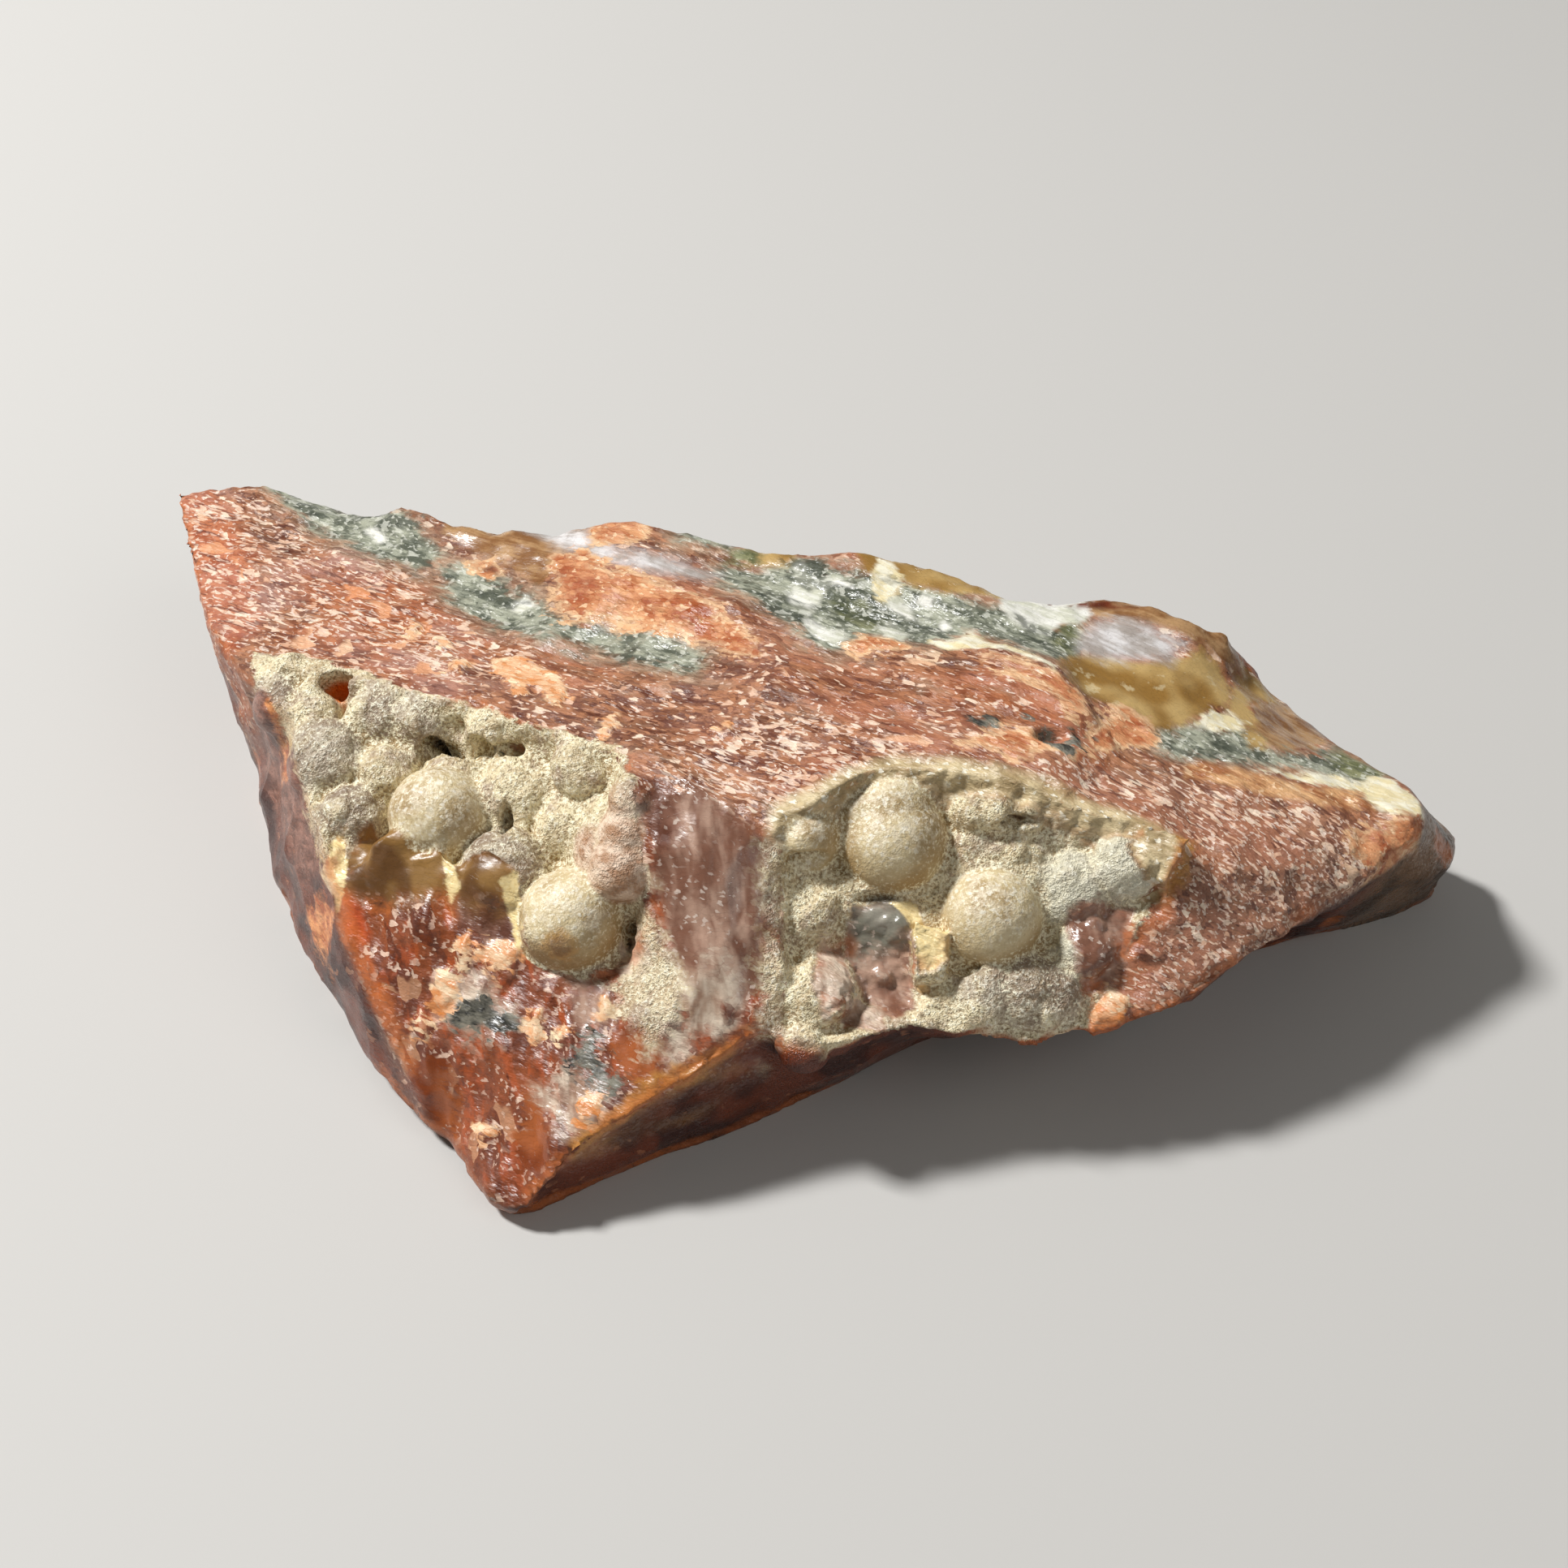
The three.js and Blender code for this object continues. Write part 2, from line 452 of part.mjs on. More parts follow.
// Two rows of points along each pocket's broken edge, at the top and at the foot of its wall. A
// mouth runs clockwise, so that the pocket lies on its right.
function wallRows() {
  const rows = [];
  for (const { mouth } of POCKETS) {
    for (let i = 0; i + 1 < mouth.length; i += 1) {
      const [ax, ay] = mouth[i];
      const [bx, by] = mouth[i + 1];
      const length = Math.hypot(bx - ax, by - ay);
      const [inX, inY] = [(by - ay) / length, (ax - bx) / length];
      const count = Math.max(1, Math.round(length / FACET));
      for (let k = 0; k < count; k += 1) {
        const [x, y] = [ax + (bx - ax) * k / count, ay + (by - ay) * k / count];
        for (const depth of [0, POCKET_WALL]) {
          const [px, py] = [x + inX * depth, y + inY * depth];
          if (clearOfRim(px, py)) {
            rows.push(onSkin(px, py));
          }
        }
      }
    }
  }
  return rows;
}

// Plan points of the upper skin: the wall rows, and a jittered lattice clear of them and the rim.
function latticeInside() {
  const random = seededRandom(SEED);
  const bounds = new THREE.Box2().setFromPoints(rimOutline.map(([x, y]) => new THREE.Vector2(x, y)));
  const rowStep = FACET * Math.sqrt(3) / 2;
  const rows = wallRows();
  const points = [...rows];
  for (let row = 0; bounds.min.y + row * rowStep < bounds.max.y; row += 1) {
    for (let x = bounds.min.x + (row % 2) * FACET / 2; x < bounds.max.x; x += FACET) {
      const px = x + (random() - 0.5) * FACET * 0.35;
      const py = bounds.min.y + row * rowStep + (random() - 0.5) * FACET * 0.35;
      const clearOfRows = rows.every(([rx, ry]) => Math.hypot(rx - px, ry - py) > ROW_CLEARANCE);
      if (clearOfRows && clearOfRim(px, py)) {
        points.push(onSkin(px, py));
      }
    }
  }
  return points;
}

function makeChunk() {
  const count = columns.length;
  const positions = [];
  const faces = [];

  // Rim, then the chipped flank down to the flat foot.
  const levels = [
    ({ rim }) => rim.clone(),
    ({ rim, waist }) => rim.clone().lerp(waist, 0.5),
    ({ waist }) => waist.clone(),
    ({ waist, foot }) => waist.clone().lerp(foot, 0.55),
    ({ foot }) => foot.clone(),
  ];
  levels.forEach((place, level) => {
    columns.forEach((column, i) => {
      const point = place(column);
      if (level > 0 && level < levels.length - 1) {
        const before = columns[(i + count - 1) % count].waist;
        const after = columns[(i + 1) % count].waist;
        const outward = new THREE.Vector3(after.y - before.y, before.x - after.x, 0).normalize();
        const chip = noise.noise(point.x / 3.4, point.y / 3.4, point.z / 2.6 + 20);
        point.addScaledVector(outward, FLANK_CHIPPING * chip);
      }
      positions.push(point.x, point.y, point.z);
    });
  });
  for (let level = 0; level < levels.length - 1; level += 1) {
    for (let i = 0; i < count; i += 1) {
      const a = level * count + i;
      const b = level * count + (i + 1) % count;
      const [c, d] = [a + count, b + count];
      if ((i + level) % 2) {
        faces.push([a, c, b], [b, c, d]);
      } else {
        faces.push([a, c, d], [a, d, b]);
      }
    }
  }

  // The flat foot.
  const footStart = (levels.length - 1) * count;
  const footOutline = columns.map(({ foot }) => new THREE.Vector2(foot.x, foot.y));
  for (const [a, b, c] of THREE.ShapeUtils.triangulateShape(footOutline, [])) {
    faces.push([footStart + a, footStart + c, footStart + b]);
  }

  // The upper skin, over the rim and the lattice inside it.
  const inner = latticeInside();
  const innerStart = positions.length / 3;
  inner.forEach((point) => positions.push(...point));
  const plan = [...rimOutline, ...inner];
  const vertex = (i) => (i < count ? i : innerStart + i - count);
  for (const triangle of delaunay(plan)) {
    const middle = [0, 1].map((axis) => triangle.reduce((sum, i) => sum + plan[i][axis] / 3, 0));
    if (insideOutline(rimOutline, ...middle)) {
      faces.push(triangle.map(vertex));
    }
  }

  const geometry = new THREE.BufferGeometry();
  geometry.setAttribute('position', new THREE.Float32BufferAttribute(positions, 3));
  geometry.setIndex(faces.flat());
  return solidOf(geometry);
}

// ---------------------------------------------------------------- the orbs

function makeOrb([x, y, z, radius]) {
  const geometry = new THREE.IcosahedronGeometry(radius, radius < LARGE_ORB ? 2 : 3);
  geometry.rotateZ(x);
  geometry.translate(x, y, z);
  return solidOf(geometry);
}

// An orb less the part that lies beyond its flat break.
function makeBrokenOrb([x, y, z, radius]) {
  const lost = new THREE.BoxGeometry(4 * radius, 4 * radius, 2 * radius);
  const facing = new THREE.Vector3(...BREAK_FACING).normalize();
  lost.applyQuaternion(new THREE.Quaternion().setFromUnitVectors(new THREE.Vector3(0, 0, 1), facing));
  const beyond = facing.multiplyScalar(radius * 1.25);
  lost.translate(x + beyond.x, y + beyond.y, z + beyond.z);
  return makeOrb([x, y, z, radius]).subtract(solidOf(lost));
}

function makeChip(corners) {
  return solidOf(new ConvexGeometry(corners.map((corner) => new THREE.Vector3(...corner))));
}

function makeOpening({ centre, half }) {
  const geometry = new THREE.IcosahedronGeometry(1, 2);
  geometry.scale(...half);
  geometry.translate(...centre);
  return solidOf(geometry);
}

function makeScar({ at, facing, radius, depth }) {
  const geometry = new THREE.IcosahedronGeometry(radius, SCAR_DETAIL);
  const centre = new THREE.Vector3(...facing).setLength(radius - depth).add(new THREE.Vector3(...at));
  geometry.translate(centre.x, centre.y, centre.z);
  return solidOf(geometry);
}

// ---------------------------------------------------------------- the stone

let stone = makeChunk();
for (const scar of SCARS) {
  stone = stone.subtract(makeScar(scar));
}
for (const opening of [PIN_HOLE, DARK_GAP, SHELF_SLOT]) {
  stone = stone.subtract(makeOpening(opening));
}
for (const orb of ORBS) {
  stone = stone.add(makeOrb(orb));
}
for (const orb of BROKEN_ORBS) {
  stone = stone.add(makeBrokenOrb(orb));
}
for (const chip of [AMBER_FLAP, PALE_FLAKE]) {
  stone = stone.add(makeChip(chip));
}

// One body: a void that is left closed between an orb and its seat is filled.
const [body] = stone.decompose().sort((a, b) => b.volume() - a.volume());

const geometry = geometryOf(body);
geometry.computeBoundingBox();
const middle = geometry.boundingBox.getCenter(new THREE.Vector3());
geometry.translate(-middle.x, -middle.y, 0);
geometry.computeVertexNormals();

const jasper = new THREE.MeshStandardMaterial({ color: 0xa6593f, roughness: 0.62, metalness: 0 });
const chunk = new THREE.Mesh(geometry, jasper);
chunk.name = 'ocean_jasper';

const specimen = new THREE.Group();
specimen.add(chunk);

export default specimen;
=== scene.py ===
"""Looks of the rough ocean jasper: one dense mesh that stands for the faceted stone.

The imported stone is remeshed, its facets are worn away and its broken grain, chips and round
orbs are modelled again at full detail. The materials are procedural. Tables of places are in
millimetres, in the frame that the stone was drawn in; MODEL_ORIGIN takes them to the row frame.
"""

import itertools
import math
from collections import namedtuple

import bpy
import numpy as np
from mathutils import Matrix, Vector
from mathutils.kdtree import KDTree


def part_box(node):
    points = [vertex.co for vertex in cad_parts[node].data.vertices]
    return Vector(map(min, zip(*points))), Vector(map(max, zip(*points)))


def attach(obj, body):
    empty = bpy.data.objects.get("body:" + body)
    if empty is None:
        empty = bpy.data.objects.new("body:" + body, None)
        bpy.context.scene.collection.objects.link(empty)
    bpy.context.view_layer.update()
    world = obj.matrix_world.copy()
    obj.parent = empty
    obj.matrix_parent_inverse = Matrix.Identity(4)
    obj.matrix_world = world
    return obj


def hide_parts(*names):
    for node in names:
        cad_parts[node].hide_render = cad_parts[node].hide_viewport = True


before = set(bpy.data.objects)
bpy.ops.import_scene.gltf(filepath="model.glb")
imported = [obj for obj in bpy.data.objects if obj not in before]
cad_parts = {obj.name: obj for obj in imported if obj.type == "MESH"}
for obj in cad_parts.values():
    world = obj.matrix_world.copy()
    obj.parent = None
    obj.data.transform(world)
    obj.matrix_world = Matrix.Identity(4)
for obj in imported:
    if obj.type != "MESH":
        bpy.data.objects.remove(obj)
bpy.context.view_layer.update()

MM = 0.001
MODEL_ORIGIN = np.array([0.37, -0.48, 0.0])
STONE = "ocean_jasper"

# ---- sizes, mm

FINE_VOXEL = 0.17
VOXEL = FINE_VOXEL
MOST_TRIANGLES = 196_000
ORB_SUBDIVISIONS = 5
SHARP_EDGE = math.radians(38)
CREASE_STEP = 0.25
CREASE_WIDTH = 0.8
EDGE_GLOW = 1.6
WEAR_PASSES = 18
FILL_PASSES = 3
HOLLOW_PASSES = 12
GRAIN_ANGLE = math.radians(-28)
SLOPE_ANGLE = math.radians(-80)
CHUNK = 40_000

# ---- places, mm

# An outline is one row of x,y places.
RIM = (
    -41.9,23.7, -40.4,18.7, -38.6,13.8, -36.8,9, -34,4.6, -31.3,1.5, -29.6,-0.5, -29.2,-3, -27.7,-6.9,
    -26.8,-9.1, -26,-10.9, -25.5,-13.2, -24.1,-15.5, -23.1,-17.2, -21.8,-19.3, -20.5,-20.9, -19,-22,
    -17.7,-24.5, -16.5,-26.3, -15.4,-27, -14.3,-27.2, -13.7,-26.8, -11.7,-25.6, -9.9,-24.7, -7.9,-23.7,
    -6.1,-22.9, -4.4,-22.1, -2.7,-21.1, -1.2,-20.5, 0.9,-21.2, 2.9,-21.3, 5.1,-20.7, 9.7,-20.1, 14.3,-20.4,
    16.9,-19.9, 19.2,-19.4, 22.1,-18.5, 25,-16.6, 28.1,-14.6, 31,-12.1, 35,-9.5, 37.3,-7.5, 38.1,-6,
    38.2,-4.6, 38,-3.4, 36.6,-1.2, 34.6,1.2, 33,3.7, 31.3,6.7, 27.8,6.9, 25.8,6.9, 23.1,7.8, 17.5,7.9,
    13.9,8.2, 11.4,9.1, 8.4,10.2, 4.8,10.7, 1.7,11.2, -1.3,12, -4.4,13.2, -9.7,14.5, -12.1,15, -14.6,15.8,
    -18.4,16.8, -21.8,17.9, -24.8,19.3, -27.2,20.5, -28.8,20.7, -31.2,21.8, -35.3,23.4, -38.8,23.9,
)
POCKETS = [
    (-33.2,5.5, -28.7,4, -25.8,2.6, -24.2,0.8, -20.8,-1, -17.4,-2.3, -15.5,-3.6, -12.2,-5.2, -9.6,-6.6,
    -8.6,-8.8, -8.2,-11.6, -7.6,-14.3, -8,-16.4, -11.6,-17, -13.6,-16.2, -15.1,-14.6, -15.3,-12.4,
    -16.6,-11.6, -18.8,-11.5, -20,-10.4, -22,-9.5, -24.8,-10, -27.6,-9.4, -29,-4, -30.4,-0.6, -32.6,2.6),
    (-0.4,-13.2, -0.2,-11.6, 1.7,-11.3, 3.2,-10.3, 4.7,-9.4, 6.6,-9.1, 9,-9.3, 12.4,-9.7, 14.3,-10.1,
    16.2,-10.8, 18.1,-11.2, 20.1,-11.3, 22.4,-12, 21.5,-13.9, 20.1,-15.3, 18.5,-17, 17.4,-18.6, 16.6,-21.5,
    0,-22.5, -0.2,-17.3)]

# Round orbs of the two linings, by the look of their skin: x, y, z, radius.
PEARL_ORBS = [
    (-20.3, -7.2, 12.4, 3), (-12.1, -13.8, 10.8, 3), (6.2, -11, 14.4, 3.1), (11.7, -14.5, 11.8, 2.9),
    (1.1, -10.9, 14.9, 2.3), (6.1, -10, 15.4, 2.6), (4.6, -10, 15.6, 1.9),
]
GREY_ORBS = [
    (-16.2, -10.6, 10.8, 2.9), (-24, 0, 13.4, 2.4), (-21.8, -0.5, 13.7, 2.3), (-27.4, -2.5, 12.3, 2.7),
    (-25.6, -6.4, 11.3, 2.2), (-30.9, 2.2, 12.8, 1.9), (11.6, -17.3, 8.6, 2.4), (13.4, -17.1, 8.5, 2.6),
    (15, -17.3, 8.4, 2.2),
]
WHITE_ORBS = [(16.4, -12.2, 11.7, 2.9), (17.2, -15.4, 10, 2.1), (19.3, -12, 13.4, 2.3)]
GLASS_ORBS = [
    (-9.5, -10.7, 13.2, 2.4), (-8.6, -10.2, 16.7, 1.3), (-8.8, -11.3, 15.3, 1.6), (-9.1, -12.6, 13.9, 1.9),
    (-8.2, -9, 16.6, 1),
]
DUSTY_ORBS = [
    (-11.7, -6.1, 15.4, 1.9), (-23.8, -3.7, 12.2, 2.1), (-19.4, -4.4, 12.3, 2.3), (-15.6, -5.6, 12.2, 3),
    (-12.5, -8.4, 12.6, 2), (-28.6, 0.6, 13.2, 1.7), (-17.4, -2.5, 15, 1.6), (10.8, -10.1, 15.9, 1.4),
    (12.2, -10.2, 16, 1.4), (13.6, -10.5, 15.9, 1.2), (10.8, -10.3, 12.2, 2.3), (1.5, -14, 11.4, 2.1),
    (3.5, -12.2, 11.6, 2), (1.9, -17.9, 8.8, 2.5),
]
ORBS = PEARL_ORBS + GREY_ORBS + WHITE_ORBS + GLASS_ORBS + DUSTY_ORBS

# Small orbs that fill the floor between them.
FILLER_RADII = (1.0, 1.7)
FILLER_SINK = 0.72
FILLER_SPACING = 1.15
FILLER_INSET = 1.2
FILLER_CLEARANCE = 1.0

# Gaps carved into the surface and painted near-black as shade: x, y, z, half lengths along the three axes,
# depth.
GAPS = [
    (-20.5, -3, 13.8, 1.5, 0.7, 1.3, 2.2), (-18.4, -3.8, 14.7, 1.6, 0.6, 1.1, 2.2),
    (-16.2, -4.2, 15, 1.2, 0.5, 0.6, 0.8), (-19.5, -3.4, 14.2, 0.9, 0.6, 0.9, 1.6),
    (-27.2, 1.9, 14.4, 1.1, 0.6, 1.6, 1.1), (-8.8, -15, 10.8, 0.4, 1, 1.6, 1.2),
    (-16.2, -8.6, 13.2, 0.5, 1.6, 1.4, 0.8), (1.4, -13, 15, 1.8, 0.5, 0.7, 0.8),
    (5.4, -14.1, 12.8, 1.6, 0.5, 0.7, 0.6), (10.4, -17.3, 10.6, 1.8, 0.5, 0.6, 0.6),
    (15.6, -5.8, 17.9, 1.5, 0.8, 0.9, 1), (13.2, -11.3, 16.4, 1.7, 0.5, 0.5, 0.9),
]

# The worn honey window in the skin of one orb.
WINDOW = [(-12.6, -16.6, 11.7, 1)]

# The pin hole behind the left pocket is painted bright orange, as light seen through it.
PIN_HOLE = [(-27.2, 1.9, 13.2, 1.2)]

# Zones of colour, as plan outlines.
ZONES = {}
ZONES["umber"] = [
    (19.3,7.4, 20.5,12, 28,12, 29.4,6.4, 28.2,3.3, 27.9,4.9, 27.1,5.5, 24.4,6, 22,6.7, 20,6.8),
    (28.9,2.5, 31.5,5.5, 35,4, 33.9,2.1, 32.9,0.3, 30.8,-1.4, 29.4,-1.4, 28.7,-0.2),
    (-21.8,21, -16,19, -12.4,14.4, -15.4,10.6, -19,13.6, -22.6,16.6)]
ZONES["olive"] = [
    (16.5,1.5, 18.6,3.5, 21.6,3.4, 23.7,3.8, 26,5.2, 27.3,4.8, 27.8,3.1, 27.4,1.4, 26,0.6, 24.7,-0.8,
    22.2,-2.3, 21.1,-1.5, 19.1,-1, 17.7,-0.9, 16.8,-0.4),
    (27.2,1.2, 28.9,6.5, 32,6, 28.9,2.5, 28.8,-0.2, 29.4,-1.4, 28.1,-2.1, 28.1,-0.5),
    (5.4,9.9, 6.9,9.9, 7.2,7.4, 6,7.2),
    (-2.6,12.6, 0.8,12, 0.2,10.6, -2.6,11),
    (3.4,14, 14,12, 14,8, 10,7.6, 7.4,8.6, 5,9)]
ZONES["green"] = [
    (16.7,4.6, 16.9,5.8, 17.8,6.4, 18.7,5.4, 18.2,4, 17.6,3.2, 16.6,3.6),
    (3,7.2, 4.7,6.7, 6.3,5.4, 5.8,4.2, 4.5,4.6, 3.4,5.7),
    (-3.6,12.6, -1.6,12.6, -1.6,11, -3.6,11.2),
    (33,-1.2, 34.4,0.6, 37,-1.6, 35.8,-2.6, 33.6,-2.4)]
ZONES["lilac"] = [
    (18.1,3.7, 18.4,5.2, 19.5,6.5, 21.1,6.9, 22.9,6.2, 24.9,5.4, 23.7,3.9, 21.7,3.6, 19.2,3.1),
    (-20.5,21.1, -17.1,19.6, -13.4,15.2, -10.6,12, -7,10.9, -4.1,9.7, -4.9,8.8, -8.5,9.5, -11.9,11.2,
    -14.4,13.4, -17.2,16.2, -20,18.4)]
ZONES["slate"] = [
    (-36,27, -30,27.5, -27.3,22, -24.4,18, -22.3,15.2, -24,13.4, -26.7,15.1, -29.4,17.2, -32.4,20,
    -34.8,22.9),
    (-22.6,13.6, -19.4,13.6, -16.8,10.2, -13.4,6.9, -10.3,5.4, -6.7,3.9, -4.2,2.4, -5.5,0.9, -8.6,1.6,
    -13,3.9, -16.3,5.2, -19,8, -21.4,10.6),
    (-4.2,10.2, -1.3,10.8, 1.7,10.6, 5.4,9, 9,7.8, 14,6.6, 16.4,5.4, 18.2,4, 16.6,1.8, 14.4,2.2, 11.8,4.4,
    8.8,2.6, 5.2,3.6, 3,1.4, 1.6,2.4, 0.6,4.4, -0.3,5.1, -2.3,6.9, -3.8,8.6),
    (22.2,-2.3, 24.7,-1, 26.2,-1.2, 28.4,-0.3, 29.2,-1.9, 31.3,-1.5, 34.3,0.4, 36.9,-2, 35.7,-2.9,
    33.2,-2.8, 30.9,-2.7, 28.9,-3.7, 25.7,-4.1, 23.2,-4.3, 22,-4),
    (-7,13.8, -3.6,13.8, -3,12.4, -6.6,12.6)]
ZONES["tan"] = [
    (23.4,-5.1, 24.6,-4.4, 26.6,-4.6, 28.6,-4.7, 31.7,-4.5, 35.2,-3.7, 35.4,-6, 34,-6, 31.3,-6.3, 28.3,-6.5,
    25.4,-6.2, 23.5,-6.1)]
ZONES["pale"] = [
    (0.1,6.9, 0.6,8.8, 0.7,10.4, 1.2,10.5, 1.5,9.3, 3.2,9, 4.3,7.8, 2.8,8.3, 2.3,7.8, 2,6.3, 1.5,5.3,
    0.9,6.1),
    (1.2,4.9, 1.8,4.9, 2.7,4, 3.5,4.1, 4,3.2, 3.1,2.6, 2.3,3, 1.6,3.7),
    (6,6.9, 7,7.2, 7.9,6.3, 8.4,5.3, 7.6,5.5, 6.6,6.2),
    (5.7,4.7, 6.6,5.3, 7.6,3.7, 7.2,2.9, 6.2,3.3),
    (8.1,6.7, 8.7,7.4, 9.3,7, 9,6.3),
    (9.6,5.3, 10,5.5, 10.2,4.5, 9.7,4.3),
    (13.4,6.7, 13.8,9, 15,12, 18,12, 19.3,7.2, 18.5,6.1, 17.2,6.1, 16.4,4.7, 15.1,5, 13.9,5.8),
    (-17.5,9.4, -16.4,9.8, -15.6,8.8, -16.8,8.4),
    (-28.2,18.6, -27.2,18.4, -26.2,17, -27,16.8)]
ZONES["butter"] = [
    (5.6,9.3, 6,10.4, 6.9,10.2, 7.4,8.5, 7,7.7, 6.5,7, 6,6.8, 5.6,7.5),
    (24.7,-1, 25.7,0.2, 27.2,1.2, 28.4,0.4, 27.8,-0.4, 26.2,-1.1),
    (28,-4.3, 29.5,-3.4, 30.9,-3.4, 33.1,-3.1, 35.3,-3.1, 35.2,-3.8, 32.3,-4.2, 30.2,-4.4),
    (35.1,-3.1, 36.4,-2.2, 38.2,-3.6, 38.8,-5.4, 38,-6, 36.5,-6.2, 35.3,-6, 34.9,-4.9),
    (8.8,3, 10.3,2.6, 11.4,4.3, 12.2,3.2, 14,2.2, 16.2,0.6, 16.1,-0.2, 14.2,1.3, 12.4,1.9, 10.6,1.8,
    9.4,1.7)]
ZONES["orange"] = [
    (-14.8,12.5, -12.8,12.3, -10,10, -6.7,7.9, -4.5,6.2, -2.7,4.2, -1.2,2.6, -1.4,1.2, -3.1,1.5, -5.2,3.1,
    -6.5,4.1, -8.4,4.9, -11.1,5.8, -13.5,6.1, -14.7,7.8, -14.5,10.3),
    (11,1.5, 12.6,1.4, 14.4,1.1, 16.2,-0.3, 17.5,-1.2, 17.8,-3.1, 16.8,-4.6, 16.1,-3.7, 15.4,-2.2,
    14.2,-1.2, 12.4,-0.2),
    (16.5,-7.2, 17.3,-5.7, 18,-4.4, 18.5,-2.9, 19.7,-1.2, 21.5,-1.6, 22,-2.4, 22.1,-3.5, 20.9,-4.4,
    18.9,-5.6),
    (3.6,2, 4.3,3.2, 5.1,3.7, 6.3,3.4, 7.3,2.3, 6.1,1.5, 4.7,1, 3.9,1.1),
    (12,-5.2, 14.6,-5.4, 15.6,-7.2, 13,-8.2, 9.8,-7.2),
    (32.5,-8.1, 34.9,-6.5, 38.4,-6.2, 38.6,-6.8, 36.8,-8.4, 35.9,-9.4, 34.5,-10, 33.2,-9.4),
    (-14.6,18.6, -11.3,17.8, -8.2,15.1, -9,12.4, -12,12.6),
    (-20.6,14.4, -19.4,14, -17.8,12.2, -19,11.8)]
ZONES["chip"] = [
    (-17.6,2.9, -16.2,3.3, -14,1.3, -12.9,-0.7, -13.2,-2.5, -14.8,-0.6, -15.7,-1.7, -16.9,0.4),
    (-24.1,7.5, -23.4,8.3, -22.6,6.9, -23.3,6),
    (-22,5.4, -21.1,5.9, -20.3,4.2, -21.3,3.9),
    (-20.1,3, -19.1,2.6, -19.5,1.4, -20.3,1.9),
    (-11.2,-3.6, -9.8,-3.2, -9.3,-4.5, -10.4,-5.3),
    (-4.5,-5.1, -3.1,-4.6, -2.9,-5.7, -4,-5.9),
    (-20,-15.7, -18.8,-15.7, -18.5,-17, -19.5,-17.4, -20.5,-17.1),
    (-18.9,-14.8, -18.1,-14.4, -17.9,-15.9, -18.7,-16.2),
    (-17.7,-14.8, -16,-14.9, -15.1,-15.2, -15.3,-16.5, -16.2,-17.2, -17,-16.2),
    (-21.4,-17.6, -20.8,-17.3, -20,-18, -20.5,-18.5, -21.3,-18.2),
    (-14.4,-18.3, -13.7,-18.1, -13.7,-19.6, -14.2,-19.8),
    (-11.6,-23.1, -11,-22.7, -10.2,-23.1, -10.4,-24.2, -11.3,-24.1),
    (-17.7,-22.6, -17,-22.5, -16.4,-23.2, -17.1,-23.6),
    (-10.5,-17.9, -9.8,-17.9, -9.5,-19, -10.2,-19.2),
    (-12.9,-19.4, -12.2,-19.4, -12.1,-20.2, -12.8,-20.2),
    (17.2,-18.7, 18.3,-17.8, 19.3,-18, 19.4,-19, 18.5,-19.9, 17.2,-19.6)]
ZONES["wall_orange"] = [
    (-28.9,-9, -27.6,-9.8, -26.3,-11.9, -26.9,-12.6, -28.4,-10.4),
    (-31.4,0.8, -30.4,0.4, -29.6,-2.8, -30.8,-1.6)]
ZONES["wall_cream"] = [
    (-30.7,0.9, -29.6,-0.4, -28,-4.6, -26.8,-7.6, -26,-10.4, -25.4,-12, -26.1,-11.4, -27.1,-9.1, -28.7,-4.8,
    -30.7,0.2)]
ZONES["wall_mauve"] = [
    (-32.2,2.4, -29.4,-3.6, -27.5,-7.3, -26.6,-10, -29.1,-8, -30.8,-3.5, -33.4,2.6)]
ZONES["ember"] = [
    (-42.4,23.2, -39.9,23.8, -37,20, -35,14.2, -33.2,9.3, -34.5,5.9, -38,10.5, -40.7,16.7)]
ZONES["dusty"] = [
    (-8.8,-13.7, -7.6,-14.7, -7,-16.1, -6.3,-17.4, -5.9,-18.5, -5.9,-20.3, -7.5,-21.1, -9.2,-19,
    -10.1,-17.1, -8.8,-16.9, -7.7,-16.8, -8.6,-15),
    (-1,-12.9, 0.2,-12.8, 0.4,-21, -1.3,-20.6, -1.1,-17)]
ZONES["ash"] = [
    (3.6,-14.5, 5.2,-14.1, 6.8,-14.4, 7.2,-15.6, 5.7,-16.3, 3.9,-15.8)]
ZONES["amber"] = [
    (-25.4,-11.3, -25.6,-9.2, -24.5,-7.6, -22.3,-8.2, -20.2,-9, -19.2,-10.4, -19.4,-12, -20.8,-12.3,
    -22.8,-12.2, -24.3,-11.8),
    (-19,-12.5, -18.9,-11.2, -17.9,-10.8, -16.5,-11.2, -15.4,-12, -15.1,-12.8, -16.2,-13.3, -17.5,-13.2)]
ZONES["rind"] = [
    (-11.8,-24.9, -9.3,-23.7, -6.6,-22.3, -3.9,-21.3, -1.9,-20.7, -1.7,-21.2, -3.9,-22.4, -6.6,-23.8,
    -9.3,-25.2, -12,-26.4),
    (22,-11.6, 23.3,-11.4, 22.6,-13.1, 21.7,-14.4, 21.2,-14.2, 21.8,-12.9)]
ZONES["plum"] = [
    (-19.1,-12.8, -16.9,-13.4, -15.4,-13.4, -15.1,-14.9, -16.2,-15.1, -17.5,-14.4, -18.6,-13.8),
    (-7.3,-9.5, -6.2,-10.6, -5.9,-12.8, -7,-13.4, -7.6,-11.8)]
ZONES["facet"] = [
    (-14.6,-22.2, -13.6,-21.8, -12.9,-24.2, -13.2,-26.4, -15.3,-25.6, -15.3,-23.9),
    (-9.9,-19.5, -8,-19.6, -6.7,-21, -7.1,-22.6, -8.6,-22.3, -9.8,-21.2),
    (-21.9,-19.2, -19.6,-18.9, -18.4,-21, -17.8,-24, -19.8,-22.2)]
